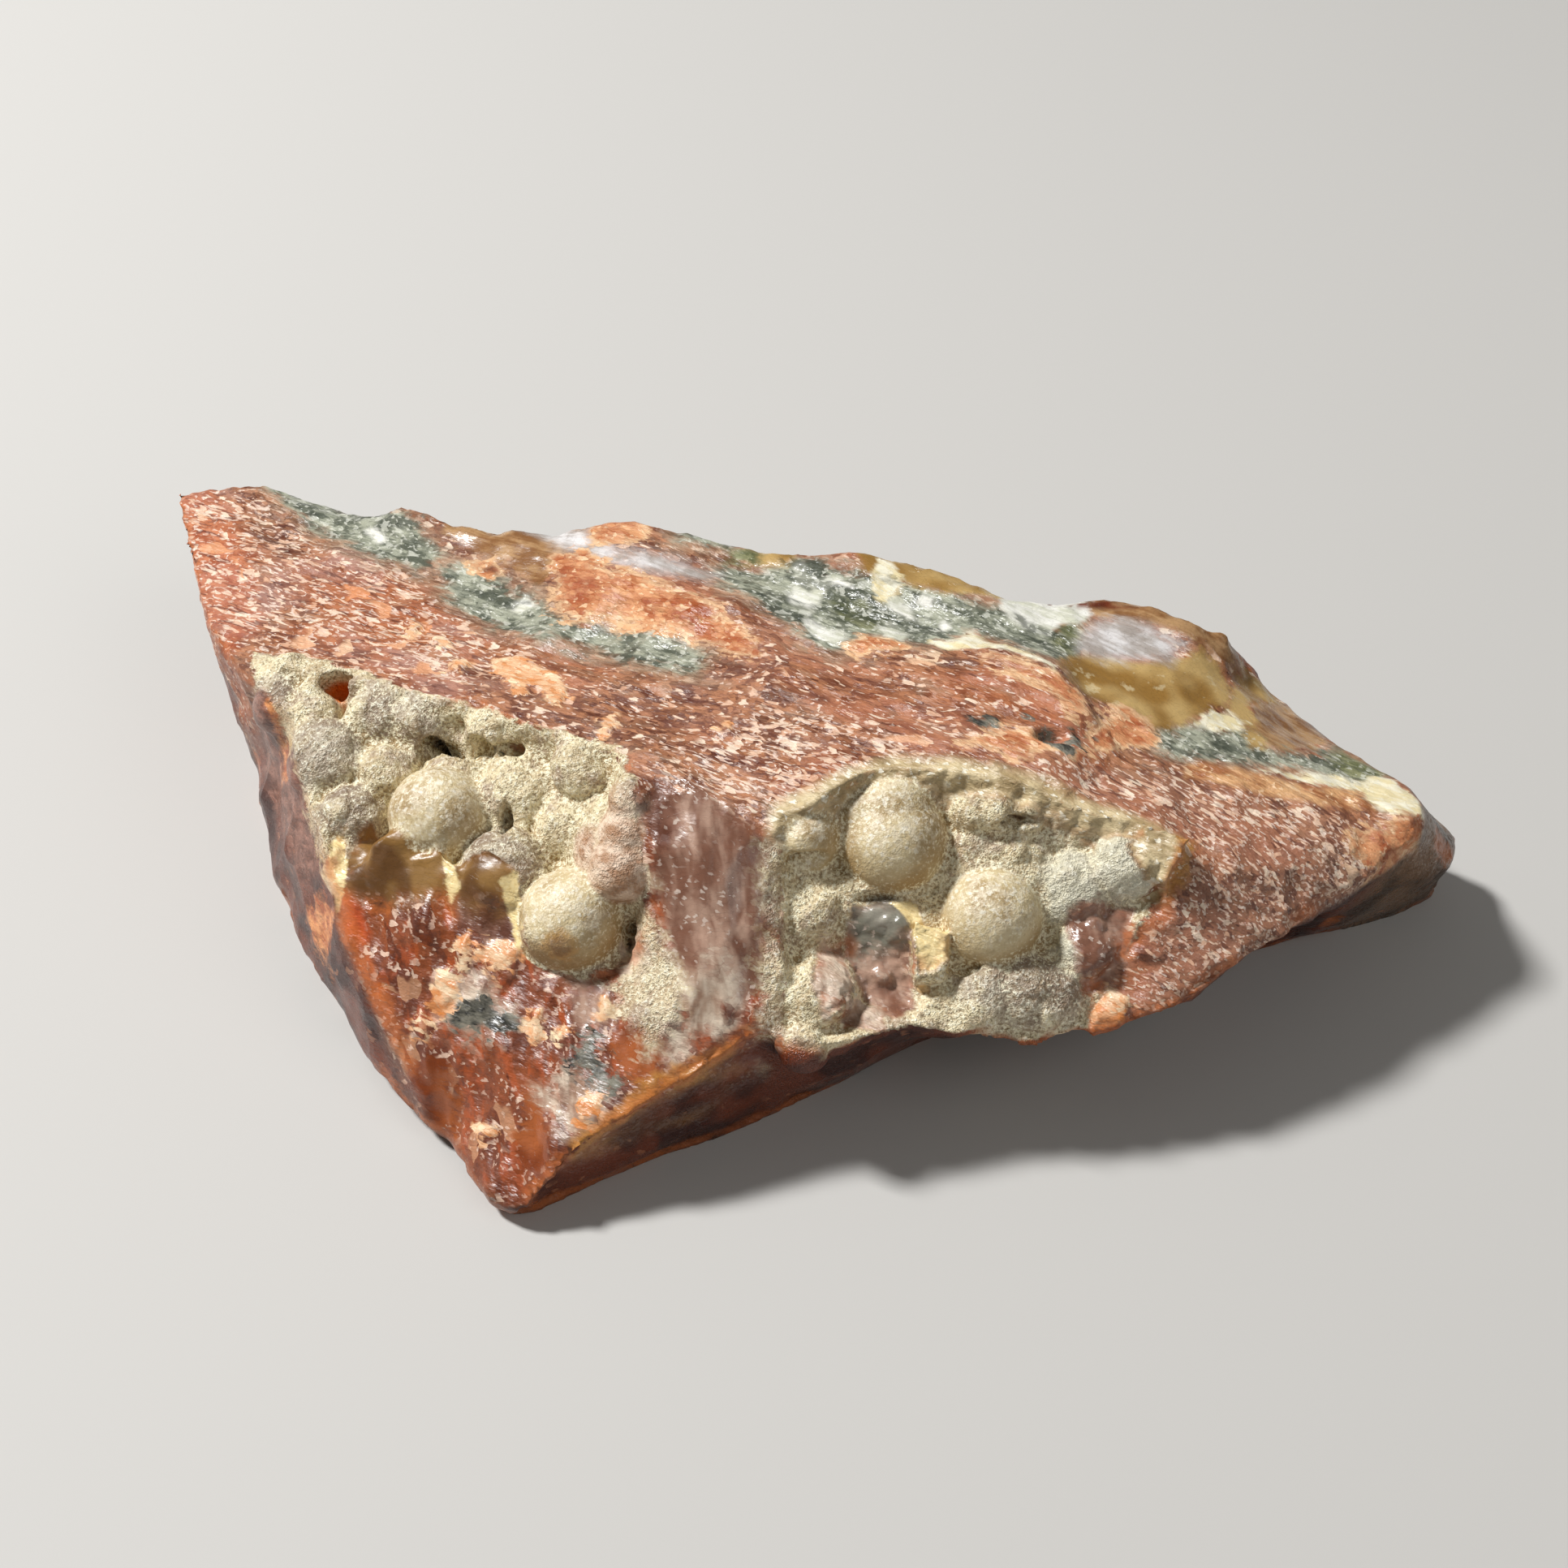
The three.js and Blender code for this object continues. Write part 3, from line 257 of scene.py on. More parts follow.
ZONES["frost"] = [
    (-9.8,-16.5, -8.8,-14.4, -7.6,-14.7, -7,-17.1, -5.2,-19.6, -3.8,-20.8, -6.1,-21.7, -8,-19.6,
    -9.4,-17.9),
    (-13.4,-22.2, -12.1,-21.2, -10.3,-22.1, -9.9,-23.5, -10.6,-24.8, -12.4,-24.2),
    (-19.9,-16.2, -18.1,-16.1, -16.2,-16.8, -15.7,-18.1, -16.7,-19.1, -18.9,-18.6),
    (-5.8,-17.7, -4.3,-17.6, -3,-18.9, -3.2,-20.6, -5.2,-20.8, -5.8,-19.3),
    (1.8,-16.2, 3.2,-15.7, 3.8,-17.6, 3.9,-19.6, 2.2,-20.4, 1.6,-18.9),
    (3.1,-19.4, 4.3,-18.5, 5.7,-18.7, 5.6,-20.6, 3.2,-20.2)]
ZONES["mauve"] = [
    (-7,-11, -4.9,-10.2, -1.6,-12.2, -0.4,-13.4, -0.3,-14.8, -0.2,-17, -1.2,-18.8, -3,-20, -4.8,-20.6,
    -5.4,-19.4, -6.6,-17.1, -7.3,-14.2),
    (3.6,-14.9, 5.2,-14.4, 6.8,-14.6, 7.3,-15.5, 7.3,-17, 7.3,-18.9, 6.1,-19.8, 4.5,-18.3, 3.5,-16.3),
    (16,-14.8, 18,-14.3, 19.9,-14.4, 19.6,-15.9, 18.5,-17.7, 16.9,-18, 16.2,-16.6),
    (-12.3,-16.9, -10.1,-17.4, -9.5,-18.7, -9.9,-19.7, -11.9,-19.1)]
ZONES["black"] = [
    (-19,-17.4, -17.4,-17.1, -16.2,-17.7, -15.6,-18.7, -16.9,-19, -18.8,-18.6),
    (-11.9,-20.3, -10.5,-19.8, -9.9,-21.4, -9.3,-22.6, -10.2,-23.1, -11.2,-22, -12.4,-21.3),
    (14.3,-4.5, 15.6,-4.7, 16,-5.4, 16.9,-5, 17.5,-5.4, 16.6,-7, 15.3,-6.8, 14.8,-5.7),
    (10.9,-5, 11.8,-4.7, 12.1,-5.4, 11.4,-5.7),
    (-20.9,5.4, -20.1,5.4, -20.2,4.6, -21,4.7)]
# A bright orange-red strip at the left of the front face, painted glow.
ZONES["glow"] = [
    (-25.7,-11.6, -25.1,-11.6, -24.4,-12.4, -24.4,-14, -25.1,-13.4, -25.5,-12.6)]
ZONES["cream"] = [
    (-26.5,-8.4, -25.6,-8.1, -25.5,-9.4, -25.6,-11.5, -26.1,-12.4, -26.5,-10.6),
    (-19.7,-10.2, -19.2,-9.9, -18.7,-12.5, -19.1,-12.8, -19.4,-11.8),
    (5.9,-14.2, 7.5,-14.2, 8.1,-15.6, 7.3,-15.6),
    (7.2,-15.6, 7.8,-15.2, 8.8,-15.6, 9.4,-16.1, 9.3,-17.3, 8.5,-17.8, 7.6,-18, 7.2,-16.6),
    (-16.2,-12.6, -15.2,-12.2, -14.9,-13.6, -14.6,-15.2, -15.2,-15.2, -15.6,-14)]
ZONES["rim"] = [
    (-1,-12.6, -0.6,-11, 1.7,-10.4, 3.8,-9.2, 6.1,-8.3, 9,-8.4, 12,-8.8, 14.8,-9.4, 17.1,-10, 20,-10.6,
    22.4,-11.4, 20,-12, 17,-11.6, 13,-10.6, 9,-10, 6.6,-9.7, 4.5,-10.2, 2,-11.8, 0.2,-13),
    (19.3,-12.6, 20.2,-11.4, 21.6,-11.4, 23.1,-11.7, 22.3,-13.1, 21.5,-14.3, 20.9,-14.3, 20.1,-13.9)]
ZONES["rich"] = [
    (-44,25, -30,21, -22,10, -15,3, -20,-1, -30,3, -38,10)]
# The right-hand slope, laid lighter as painted light where it turns from the key lamp.
ZONES["slope"] = [
    (8,-6, 16,-7.6, 23,-6, 33,-6.6, 36,-7.4, 39,-9, 30,-15, 22,-20, 18.6,-20, 21,-15, 23,-12, 16,-10)]
ZONES["speckle"] = [
    (-6.7,-9, -4,-5.1, 1.6,-4.4, 6.2,-6, 7.5,-9.3, 3.4,-10.4, -0.3,-11.4, -3,-12, -5.3,-10.8)]
ZONES["front"] = [
    (-27.2,-9, -24.4,-10.2, -20,-11, -16.5,-12, -15.3,-14.6, -13.6,-16.4, -11.6,-17.2, -8.2,-16.6, -7.2,-10,
    -3,-12, 0,-13, 0,-21, -5,-22.4, -9.9,-25.2, -15.4,-27.8, -21.5,-21.4, -26.4,-13.4)]

# Zones together: bare of druse, without a glowing edge, and smooth as glass.
TOGETHER = {
    "covered": ("mauve", "frost", "chip", "amber", "butter", "rim", "black", "cream", "rind", "ash"),
    "dull_edge": ("slate", "pale", "butter", "amber", "rim", "umber", "olive"),
    "polished": ("olive", "lilac", "umber", "mauve", "butter", "pale", "facet"),
}


# ---- noise

def lattice_hash(i, j, k, seed):
    h = (i * 374761393 + j * 668265263 + k * 1440662683 + seed * 1274126177) & 0xFFFFFFFF
    h = ((h ^ (h >> 13)) * 1274126177) & 0xFFFFFFFF
    return ((h ^ (h >> 16)) & 0xFFFFFF) / float(0xFFFFFF)


def noise(points, seed):
    """Smooth value noise from -1 to 1, with one feature for each unit of length."""
    base = np.floor(points).astype(np.int64)
    part = points - base
    ease = part * part * part * (part * (part * 6 - 15) + 10)
    total = np.zeros(len(points))
    for corner in range(8):
        step = [(corner >> axis) & 1 for axis in range(3)]
        weight = np.ones(len(points))
        for axis in range(3):
            weight *= ease[:, axis] if step[axis] else 1 - ease[:, axis]
        total += weight * lattice_hash(*(base[:, axis] + step[axis] for axis in range(3)), seed)
    return total * 2 - 1


def fractal(points, seed):
    """Two octaves of noise."""
    return (noise(points, seed) + noise(points * 2.03, seed + 1) * 0.5) / 1.5


def cells(points, seed):
    """Distance to the nearest of one random point in each unit cube."""
    base = np.floor(points).astype(np.int64)
    nearest = np.full(len(points), 9.0)
    for offset in itertools.product((-1, 0, 1), repeat=3):
        cell = [base[:, axis] + offset[axis] for axis in range(3)]
        squared = np.zeros(len(points))
        for axis in range(3):
            at = cell[axis] + lattice_hash(*cell, seed + 11 * axis)
            squared += (points[:, axis] - at) ** 2
        nearest = np.minimum(nearest, squared)
    return np.sqrt(nearest)


def bowls(points, lengths, seed):
    """Shallow bowls of the given lengths in mm that meet in sharp ridges: about -0.25 to 0.6."""
    place = points / lengths
    place = place + 0.15 * np.stack([noise(place * 2.1, seed + k) for k in range(3)], axis=1)
    return cells(place, seed) ** 2 - 0.25


def smooth(value, low, high):
    t = np.clip((value - low) / (high - low), 0, 1)
    return t * t * (3 - 2 * t)


# ---- meshes as arrays

def object_from(name, points, triangles):
    mesh = bpy.data.meshes.new(name)
    mesh.vertices.add(len(points))
    mesh.vertices.foreach_set("co", points.astype(np.float32).ravel())
    mesh.loops.add(triangles.size)
    mesh.loops.foreach_set("vertex_index", triangles.astype(np.int32).ravel())
    mesh.polygons.add(len(triangles))
    mesh.polygons.foreach_set("loop_start", np.arange(0, triangles.size, 3, dtype=np.int32))
    mesh.update(calc_edges=True)
    mesh.validate()
    made = bpy.data.objects.new(name, mesh)
    bpy.context.scene.collection.objects.link(made)
    return made


def arrays_of(mesh):
    points = np.empty(len(mesh.vertices) * 3, np.float32)
    mesh.vertices.foreach_get("co", points)
    mesh.calc_loop_triangles()
    triangles = np.empty(len(mesh.loop_triangles) * 3, np.int32)
    mesh.loop_triangles.foreach_get("vertices", triangles)
    return points.reshape(-1, 3).astype(float), triangles.reshape(-1, 3).astype(np.int64)


def after_modifiers(piece):
    """The arrays of a piece with its modifiers applied. The piece is removed."""
    evaluated = piece.evaluated_get(bpy.context.evaluated_depsgraph_get())
    result = arrays_of(evaluated.to_mesh())
    evaluated.to_mesh_clear()
    bpy.data.objects.remove(piece)
    return result


def edges_of(triangles):
    """Each edge once, as pairs of vertices."""
    pairs = np.concatenate([triangles[:, [0, 1]], triangles[:, [1, 2]], triangles[:, [2, 0]]])
    pairs.sort(axis=1)
    count = triangles.max() + 1
    return np.stack(np.divmod(np.unique(pairs[:, 0] * count + pairs[:, 1]), count), axis=1)


def unit(vectors):
    return vectors / np.maximum(np.linalg.norm(vectors, axis=1, keepdims=True), 1e-12)


def face_normals(points, triangles):
    """Each triangle's normal, as long as twice its area."""
    a, b, c = (points[triangles[:, k]] for k in range(3))
    return np.cross(b - a, c - a)


def normals_of(points, triangles):
    """Each vertex's normal, of length 1."""
    face = face_normals(points, triangles)
    total = np.zeros_like(points)
    for axis in range(3):
        for k in range(3):
            total[:, axis] += np.bincount(triangles[:, k], face[:, axis], len(points))
    return unit(total)


def neighbour_mean(points, edges, weights=None):
    """Weighted mean over each vertex's neighbours."""
    i, j = edges[:, 0], edges[:, 1]
    count = len(points)
    weights = np.ones(len(edges)) if weights is None else weights
    total = np.bincount(i, weights, count) + np.bincount(j, weights, count)
    mean = np.empty_like(points)
    for axis, column in enumerate(points.T):
        mean[:, axis] = np.bincount(i, weights * column[j], count)
        mean[:, axis] += np.bincount(j, weights * column[i], count)
    return mean / np.maximum(total, 1e-9)[:, None]


# ---- places on the stone

def plan_distance(points, outline):
    """Signed plan distance in mm to a closed outline, positive inside."""
    start = np.reshape(outline, (-1, 2)) - MODEL_ORIGIN[:2]
    end = np.roll(start, -1, axis=0)
    result = np.empty(len(points))
    for first in range(0, len(points), CHUNK):
        xy = points[first:first + CHUNK, None, :2]
        along = ((xy - start) * (end - start)).sum(2) / ((end - start) ** 2).sum(1)
        foot = start + np.clip(along, 0, 1)[..., None] * (end - start)
        away = np.linalg.norm(xy - foot, axis=2).min(1)
        straddles = (start[:, 1] > xy[..., 1]) != (end[:, 1] > xy[..., 1])
        rise = np.where(end[:, 1] == start[:, 1], 1e-9, end[:, 1] - start[:, 1])
        crossing = start[:, 0] + (xy[..., 1] - start[:, 1]) * (end[:, 0] - start[:, 0]) / rise
        inside = (straddles & (xy[..., 0] < crossing)).sum(1) % 2 == 1
        result[first:first + CHUNK] = np.where(inside, away, -away)
    return result


def zone(points, outlines):
    """Signed plan distance to the nearest of several outlines."""
    return np.max([plan_distance(points, outline) for outline in outlines], axis=0)


def orb_distance(points, orbs=ORBS):
    """Distance to the nearest orb's surface, negative inside."""
    nearest = np.full(len(points), 99.0)
    for x, y, z, radius in orbs:
        centre = np.array([x, y, z]) - MODEL_ORIGIN
        nearest = np.minimum(nearest, np.linalg.norm(points - centre, axis=1) - radius)
    return nearest


def gap_depth(points):
    """How deep the dark gaps reach at each point, in mm."""
    depth = np.zeros(len(points))
    for x, y, z, half_x, half_y, half_z, deepest in GAPS:
        away = (points - np.array([x, y, z]) + MODEL_ORIGIN) / [half_x, half_y, half_z]
        depth = np.maximum(depth, deepest * (1 - smooth(np.linalg.norm(away, axis=1), 0.3, 1.1)))
    return depth


def grain_frame(points):
    """Coordinates along the grain, across it and up."""
    c, s = math.cos(GRAIN_ANGLE), math.sin(GRAIN_ANGLE)
    along = points[:, 0] * c + points[:, 1] * s
    across = -points[:, 0] * s + points[:, 1] * c
    return np.stack([along, across, points[:, 2]], axis=1)


def sharp_edge_points(points, triangles):
    """Points along the faceted stone's outward edges that are sharper than SHARP_EDGE."""
    _, first, same = np.unique(np.round(points, 3), axis=0, return_index=True, return_inverse=True)
    points, triangles = points[first], same.reshape(-1)[triangles]
    face = unit(face_normals(points, triangles))
    owners = {}
    for index, corners in enumerate(triangles.tolist()):
        for k in range(3):
            key = tuple(sorted((corners[k], corners[(k + 1) % 3])))
            owners.setdefault(key, []).append((index, corners[(k + 2) % 3]))
    found = []
    for (i, j), sides in owners.items():
        if len(sides) != 2:
            continue
        (f, _), (g, apex) = sides
        bend = math.acos(max(-1.0, min(1.0, float(face[f] @ face[g]))))
        if bend > SHARP_EDGE and (points[apex] - points[i]) @ face[f] < 0:
            count = max(2, int(np.linalg.norm(points[j] - points[i]) / CREASE_STEP))
            for t in np.linspace(0, 1, count):
                found.append(points[i] * (1 - t) + points[j] * t)
    return np.array(found).reshape(-1, 3)


def distance_to(points, targets):
    tree = KDTree(len(targets))
    for index, target in enumerate(targets):
        tree.insert(target, index)
    tree.balance()
    return np.array([tree.find(point)[2] for point in points])


# ---- the stone's mesh

def unit_sphere():
    bpy.ops.mesh.primitive_ico_sphere_add(subdivisions=ORB_SUBDIVISIONS, radius=1)
    ball = bpy.context.object
    result = arrays_of(ball.data)
    bpy.data.objects.remove(ball)
    return result


def filler_orbs(points, triangles):
    """Small orbs half sunk in the pockets' floor, away from each other."""
    centres = points[triangles].mean(1)
    normals = unit(face_normals(points, triangles))
    clear = orb_distance(centres, PEARL_ORBS + GLASS_ORBS) > FILLER_CLEARANCE
    inside = (zone(centres, POCKETS) > FILLER_INSET) & (normals[:, 2] > 0) & clear
    # The order and the sizes are drawn from the places, so they are the same in each run.
    keys = np.round(centres * 50).astype(np.int64).T
    order = np.argsort(lattice_hash(*keys, 5))
    sizes = lattice_hash(*keys, 6)
    chosen = []
    for index in order[inside[order]]:
        radius = FILLER_RADII[0] + (FILLER_RADII[1] - FILLER_RADII[0]) * sizes[index] ** 2
        centre = centres[index] - normals[index] * radius * FILLER_SINK
        if all(np.linalg.norm(centre - c) > FILLER_SPACING * (radius + r) for c, r in chosen):
            chosen.append((centre, radius))
    return chosen


def rough_union():
    """The faceted stone and its smooth orbs, remeshed together."""
    points, triangles = arrays_of(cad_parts[STONE].data)
    points /= MM
    sphere, sphere_faces = unit_sphere()
    balls = [(np.array([x, y, z]) - MODEL_ORIGIN, radius) for x, y, z, radius in ORBS]
    balls += filler_orbs(points, triangles)
    all_points, all_faces, count = [points], [triangles], len(points)
    for centre, radius in balls:
        all_points.append(sphere * radius + centre)
        all_faces.append(sphere_faces + count)
        count += len(sphere)
    piece = object_from("union", np.concatenate(all_points), np.concatenate(all_faces))
    remesh = piece.modifiers.new("remesh", "REMESH")
    remesh.mode = "VOXEL"
    remesh.voxel_size = VOXEL
    creases = sharp_edge_points(points, triangles)
    creases = creases[orb_distance(creases) > 0.3]
    return (*after_modifiers(piece), creases, balls)


def worn(points, triangles, creases, balls):
    """Wears the facets away, keeps the broken rims, and fills the seams between the orbs."""
    edges = edges_of(triangles)
    crease = 1 - smooth(distance_to(points, creases), 0.2, CREASE_WIDTH)
    to_ball = np.full(len(points), 9.0)
    for centre, radius in balls:
        to_ball = np.minimum(to_ball, np.abs(np.linalg.norm(points - centre, axis=1) - radius))
    on_orb = 1 - smooth(to_ball, VOXEL * 0.5, VOXEL * 1.6)
    difference = np.abs(crease[edges[:, 0]] - crease[edges[:, 1]])
    weights = 1 - 0.85 * np.clip(difference * 2, 0, 1)
    rate = 0.6 * (1 - 0.96 * crease) * (1 - 0.9 * on_orb)
    scale = (FINE_VOXEL / VOXEL) ** 2
    for _ in range(max(4, round(WEAR_PASSES * scale))):
        points = points + rate[:, None] * (neighbour_mean(points, edges, weights) - points)
    lining = smooth(zone(points, POCKETS), -0.6, 0.4)
    for _ in range(max(2, round(FILL_PASSES * scale))):
        normals = normals_of(points, triangles)
        outward = np.clip(((neighbour_mean(points, edges) - points) * normals).sum(1), 0, None)
        points = points + normals * (outward * lining * 0.9)[:, None]
    return points, crease


def flank_share(points, normals):
    """1 on the sides and the underside, 0 on the upper skin."""
    outside = smooth(-plan_distance(points, RIM), -0.1, 0.5)
    under = smooth(-normals[:, 2], -0.12, 0.08) * smooth(-points[:, 2], -10.0, -9.0)
    under *= smooth(orb_distance(points), 0.1, 0.5)
    return np.maximum(outside, under)


def broken(points, triangles, crease):
    """Adds the grain, ledges, chips and druse of the real surface."""
    normals = normals_of(points, triangles)
    flank = flank_share(points, normals)
    lining = smooth(zone(points, POCKETS), -0.3, 0.3) * (1 - flank)
    front = smooth(zone(points, ZONES["front"]), -0.6, 0.6) * (1 - flank) * (1 - lining)
    plate = (1 - lining) * (1 - flank) * (1 - front)
    grain = grain_frame(points)

    # The top broke in shallow flakes along the grain.
    ragged = 0.05 * fractal(grain / [0.9, 0.5, 0.6], 15)
    top = 0.42 * bowls(grain, (6.5, 2.4, 3.0), 3) + 0.24 * bowls(grain, (2.0, 0.9, 1.2), 9) + ragged
    polished = smooth(zone(points, ZONES["olive"] + ZONES["lilac"] + ZONES["umber"]), -0.4, 0.4)
    top = top * (1 - 0.55 * polished)

    # The front face broke like glass, in long facets that run down the slope.
    slope = np.stack([-points[:, 1], points[:, 0], points[:, 2]], axis=1)
    calm = 1 - 0.5 * smooth(zone(points, ZONES["mauve"]), -0.4, 0.6)
    glass = 0.75 * bowls(slope, (9.0, 3.2, 5.0), 27) + 0.32 * calm * bowls(slope, (3.0, 1.1, 2.0), 33)
    glass += 0.04 * calm * fractal(points / 0.6, 39)
    glass = glass * (1 - 0.9 * smooth(zone(points, ZONES["amber"]), -0.8, 0.2))

    # Shell-like chips on the sides, calmer on the flat end.
    small = cells(points / 1.9, 57)
    side = 0.75 * bowls(points, (5.2, 5.2, 5.2), 31) + 0.18 * (small ** 2 - 0.25)
    toe = 1 - smooth(points[:, 1], -26.5, -20.0)
    side = side * (1 - 0.6 * smooth(points[:, 0], 31, 35)) * (1 - toe) - 0.25 * toe
    side = side + 0.03 * fractal(points / 0.7, 95)
    rim_chips = -0.35 * np.clip(0.55 - small, 0, 1) * crease
    rim_chips -= 0.12 * crease * (1 + fractal(points / 0.8, 61)) * (1 - lining)

    # Raised flakes, and the lumps and sugary grain of the lining.
    raised = 0.22 * smooth(zone(points, ZONES["chip"]), -0.2, 0.25)
    pearl = smooth(-orb_distance(points, PEARL_ORBS + GLASS_ORBS), -0.6, -0.1)
    lumps = 0.22 * (0.55 - cells(points / 1.0, 71)) * (1 - pearl)
    uneven = 0.09 * noise(points / 1.9, 75) * (1 - 0.4 * pearl)
    sugar = 0.10 * fractal(points / 0.42, 83) * (1 - 0.7 * pearl)

    push = plate * top + front * glass + flank * side + lining * (lumps + uneven + sugar)
    push += (1 - lining) * (rim_chips + raised) - gap_depth(points)
    floor_hold = smooth(points[:, 2], 0.05, 0.6)
    return points + normals * (push * floor_hold)[:, None]


def thinned(points, triangles):
    """The mesh with at most MOST_TRIANGLES triangles, finest on the upper skin."""
    if len(triangles) <= MOST_TRIANGLES:
        return points, triangles
    pocket = smooth(zone(points, POCKETS), -0.5, 0.2)
    detail = 0.35 + 0.35 * (1 - flank_share(points, normals_of(points, triangles))) + 0.3 * pocket
    piece = object_from("dense", points, triangles)
    group = piece.vertex_groups.new(name="coarse")
    for level in range(10):
        members = np.nonzero(((1 - detail) * 10).astype(int) == level)[0]
        if len(members):
            group.add(members.tolist(), level / 10 + 0.05, "REPLACE")
    thin = piece.modifiers.new("thin", "DECIMATE")
    thin.ratio = MOST_TRIANGLES / len(triangles)
    thin.vertex_group = group.name
    thin.vertex_group_factor = 1.0
    thin.use_collapse_triangulate = True
    return after_modifiers(piece)


def marks_of(points, triangles, creases):
    """The distances that the material cuts its zones from, by name, for each vertex."""
    edges = edges_of(triangles)
    smoothed = points
    for _ in range(HOLLOW_PASSES):
        smoothed = neighbour_mean(smoothed, edges)
    marks = {
        "hollow": ((smoothed - points) * normals_of(points, triangles)).sum(1),
        "flank": flank_share(points, normals_of(smoothed, triangles)),
        "druse": np.maximum(zone(points, POCKETS), 0.5 - 2 * orb_distance(points, PEARL_ORBS)),
        "gap": gap_depth(points),
        "edge": 1 - smooth(distance_to(points, creases), 0.0, EDGE_GLOW),
    }
    for name, orbs in {"window": WINDOW, "pin": PIN_HOLE, "pearl": PEARL_ORBS, "grey": GREY_ORBS,
                       "white": WHITE_ORBS, "glass": GLASS_ORBS}.items():
        marks[name] = -orb_distance(points, orbs)
    for name, outlines in ZONES.items():
        marks[name] = zone(points, outlines)
    for name, members in TOGETHER.items():
        marks[name] = np.max([marks[member] for member in members], axis=0)
    return marks


def make_stone():
    points, triangles, creases, balls = rough_union()
    points, crease = worn(points, triangles, creases, balls)
    points = broken(points, triangles, crease)
    points[:, 2] = np.maximum(points[:, 2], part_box(STONE)[0].z / MM)
    points, triangles = thinned(points, triangles)
    stone = object_from("jasper_stone", points * MM, triangles)
    for name, values in marks_of(points, triangles, creases).items():
        attribute = stone.data.attributes.new(name, "FLOAT", "POINT")
        attribute.data.foreach_set("value", values.astype(np.float32))
    stone.data.polygons.foreach_set("use_smooth", np.ones(len(stone.data.polygons), bool))
    print("stone", len(points), "vertices", len(triangles), "triangles")
    return stone


# ---- material

def colour(red, green, blue):
    """A colour given as 0 to 255 on screen, as the linear values that a shader takes."""
    def linear(value):
        value /= 255
        return value / 12.92 if value <= 0.04045 else ((value + 0.055) / 1.055) ** 2.4
    return (linear(red), linear(green), linear(blue), 1.0)


QUARTZ_IOR = 1.54


def empty_material(name):
    material = bpy.data.materials.new(name)
    material.use_nodes = True
    material.node_tree.nodes.clear()
    return material


def node(tree, kind, inputs=None, **settings):
    """A new node, its inputs linked or set, as the value of its first output."""
    made = tree.nodes.new(kind)
    for key, value in settings.items():
        setattr(made, key, value)
    for key, value in (inputs or {}).items():
        if isinstance(value, Value):
            tree.links.new(value.maker.outputs[value.output], made.inputs[key])
        else:
            made.inputs[key].default_value = value
    return Value(made)


class Value:
    """One output of a node. Masks run from 0 to 1: a * b is where both are, a | b is where either is,
    and ~a is where a is not."""

    def __init__(self, maker, output=0):
        self.maker = maker
        self.output = output

    def __getitem__(self, output):
        return Value(self.maker, output)

    def node(self, kind, inputs, **settings):
        return node(self.maker.id_data, kind, inputs, **settings)

    def math(self, operation, other):
        return self.node("ShaderNodeMath", {0: self, 1: other}, operation=operation)

    def __add__(self, other):
        return self.math("ADD", other)

    def __sub__(self, other):
        return self.math("SUBTRACT", other)

    def __mul__(self, other):
        return self.math("MULTIPLY", other)

    def __or__(self, other):
        return self.math("MAXIMUM", other)

    def __invert__(self):
        return self.node("ShaderNodeMath", {0: 1, 1: self}, operation="SUBTRACT", use_clamp=True)

    def ramp(self, low, high):
        """0 below low, 1 above high, and smooth between them."""
        inputs = {"Value": self, "From Min": low, "From Max": high}
        return self.node("ShaderNodeMapRange", inputs, interpolation_type="SMOOTHSTEP")

    def blend(self, a, b):
        """The number a where this is 0, and b where it is 1."""
        return self.node("ShaderNodeMapRange", {"Value": self, "To Min": a, "To Max": b})

    def vector(self, operation, *others):
        return self.node("ShaderNodeVectorMath", dict(enumerate((self, *others))), operation=operation)

    def noise(self, scale, detail=2.0, roughness=0.5, distortion=0.0):
        return self.node("ShaderNodeTexNoise", {"Vector": self, "Scale": scale, "Detail": detail,
                                                "Roughness": roughness, "Distortion": distortion})

    def stretched(self, angle, lengths):
        """Coordinates turned by angle about Z and divided by lengths in mm."""
        turned = self.node("ShaderNodeVectorRotate", {"Vector": self, "Angle": -angle})
        return turned.vector("MULTIPLY", tuple(1 / length for length in lengths))


def mix(share, a, b):
    """Colour a where the share is 0, and b where it is 1. A colour may be three numbers, 0 to 255."""
    a, b = (colour(*tone) if isinstance(tone, tuple) else tone for tone in (a, b))
    return share.node("ShaderNodeMix", {0: share, 6: a, 7: b}, data_type="RGBA")[2]


class Coat:
    """A colour that is covered, one layer after another."""

    def __init__(self, tone):
        self.tone = tone

    def lay(self, share, tone):
        self.tone = mix(share, self.tone, tone)


Flakes = namedtuple("Flakes", "along number tone")


def flakes_of(place, scale, seed):
    """Flakes about 1 / scale long: the place along each from -0.5 to 0.5, and two random numbers."""
    moved = place.vector("ADD", (seed, seed * 1.7, seed * 2.3))
    bend = moved.noise(scale * 1.8, 1.0)["Color"].vector("SUBTRACT", (0.5, 0.5, 0.5))
    bent = bend.vector("MULTIPLY_ADD", (0.5 / scale,) * 3, moved)
    cell = bent.node("ShaderNodeTexVoronoi", {"Vector": bent, "Scale": scale})
    offset = bent.vector("SUBTRACT", cell["Position"])
    parts = cell.node("ShaderNodeSeparateColor", {0: cell["Color"]})
    sway = cell["Color"].vector("MULTIPLY_ADD", (0.0, 1.1, 0.8), (1.0, -0.55, -0.4))
    along = offset.vector("DOT_PRODUCT", sway)["Value"]
    return Flakes(along * scale, parts[0], parts[2])


def lips(flakes, share, low=0.1, high=0.3):
    """The raised ends of a share of the flakes."""
    return flakes.along.ramp(low, high) * flakes.number.ramp(share, share - 0.04)


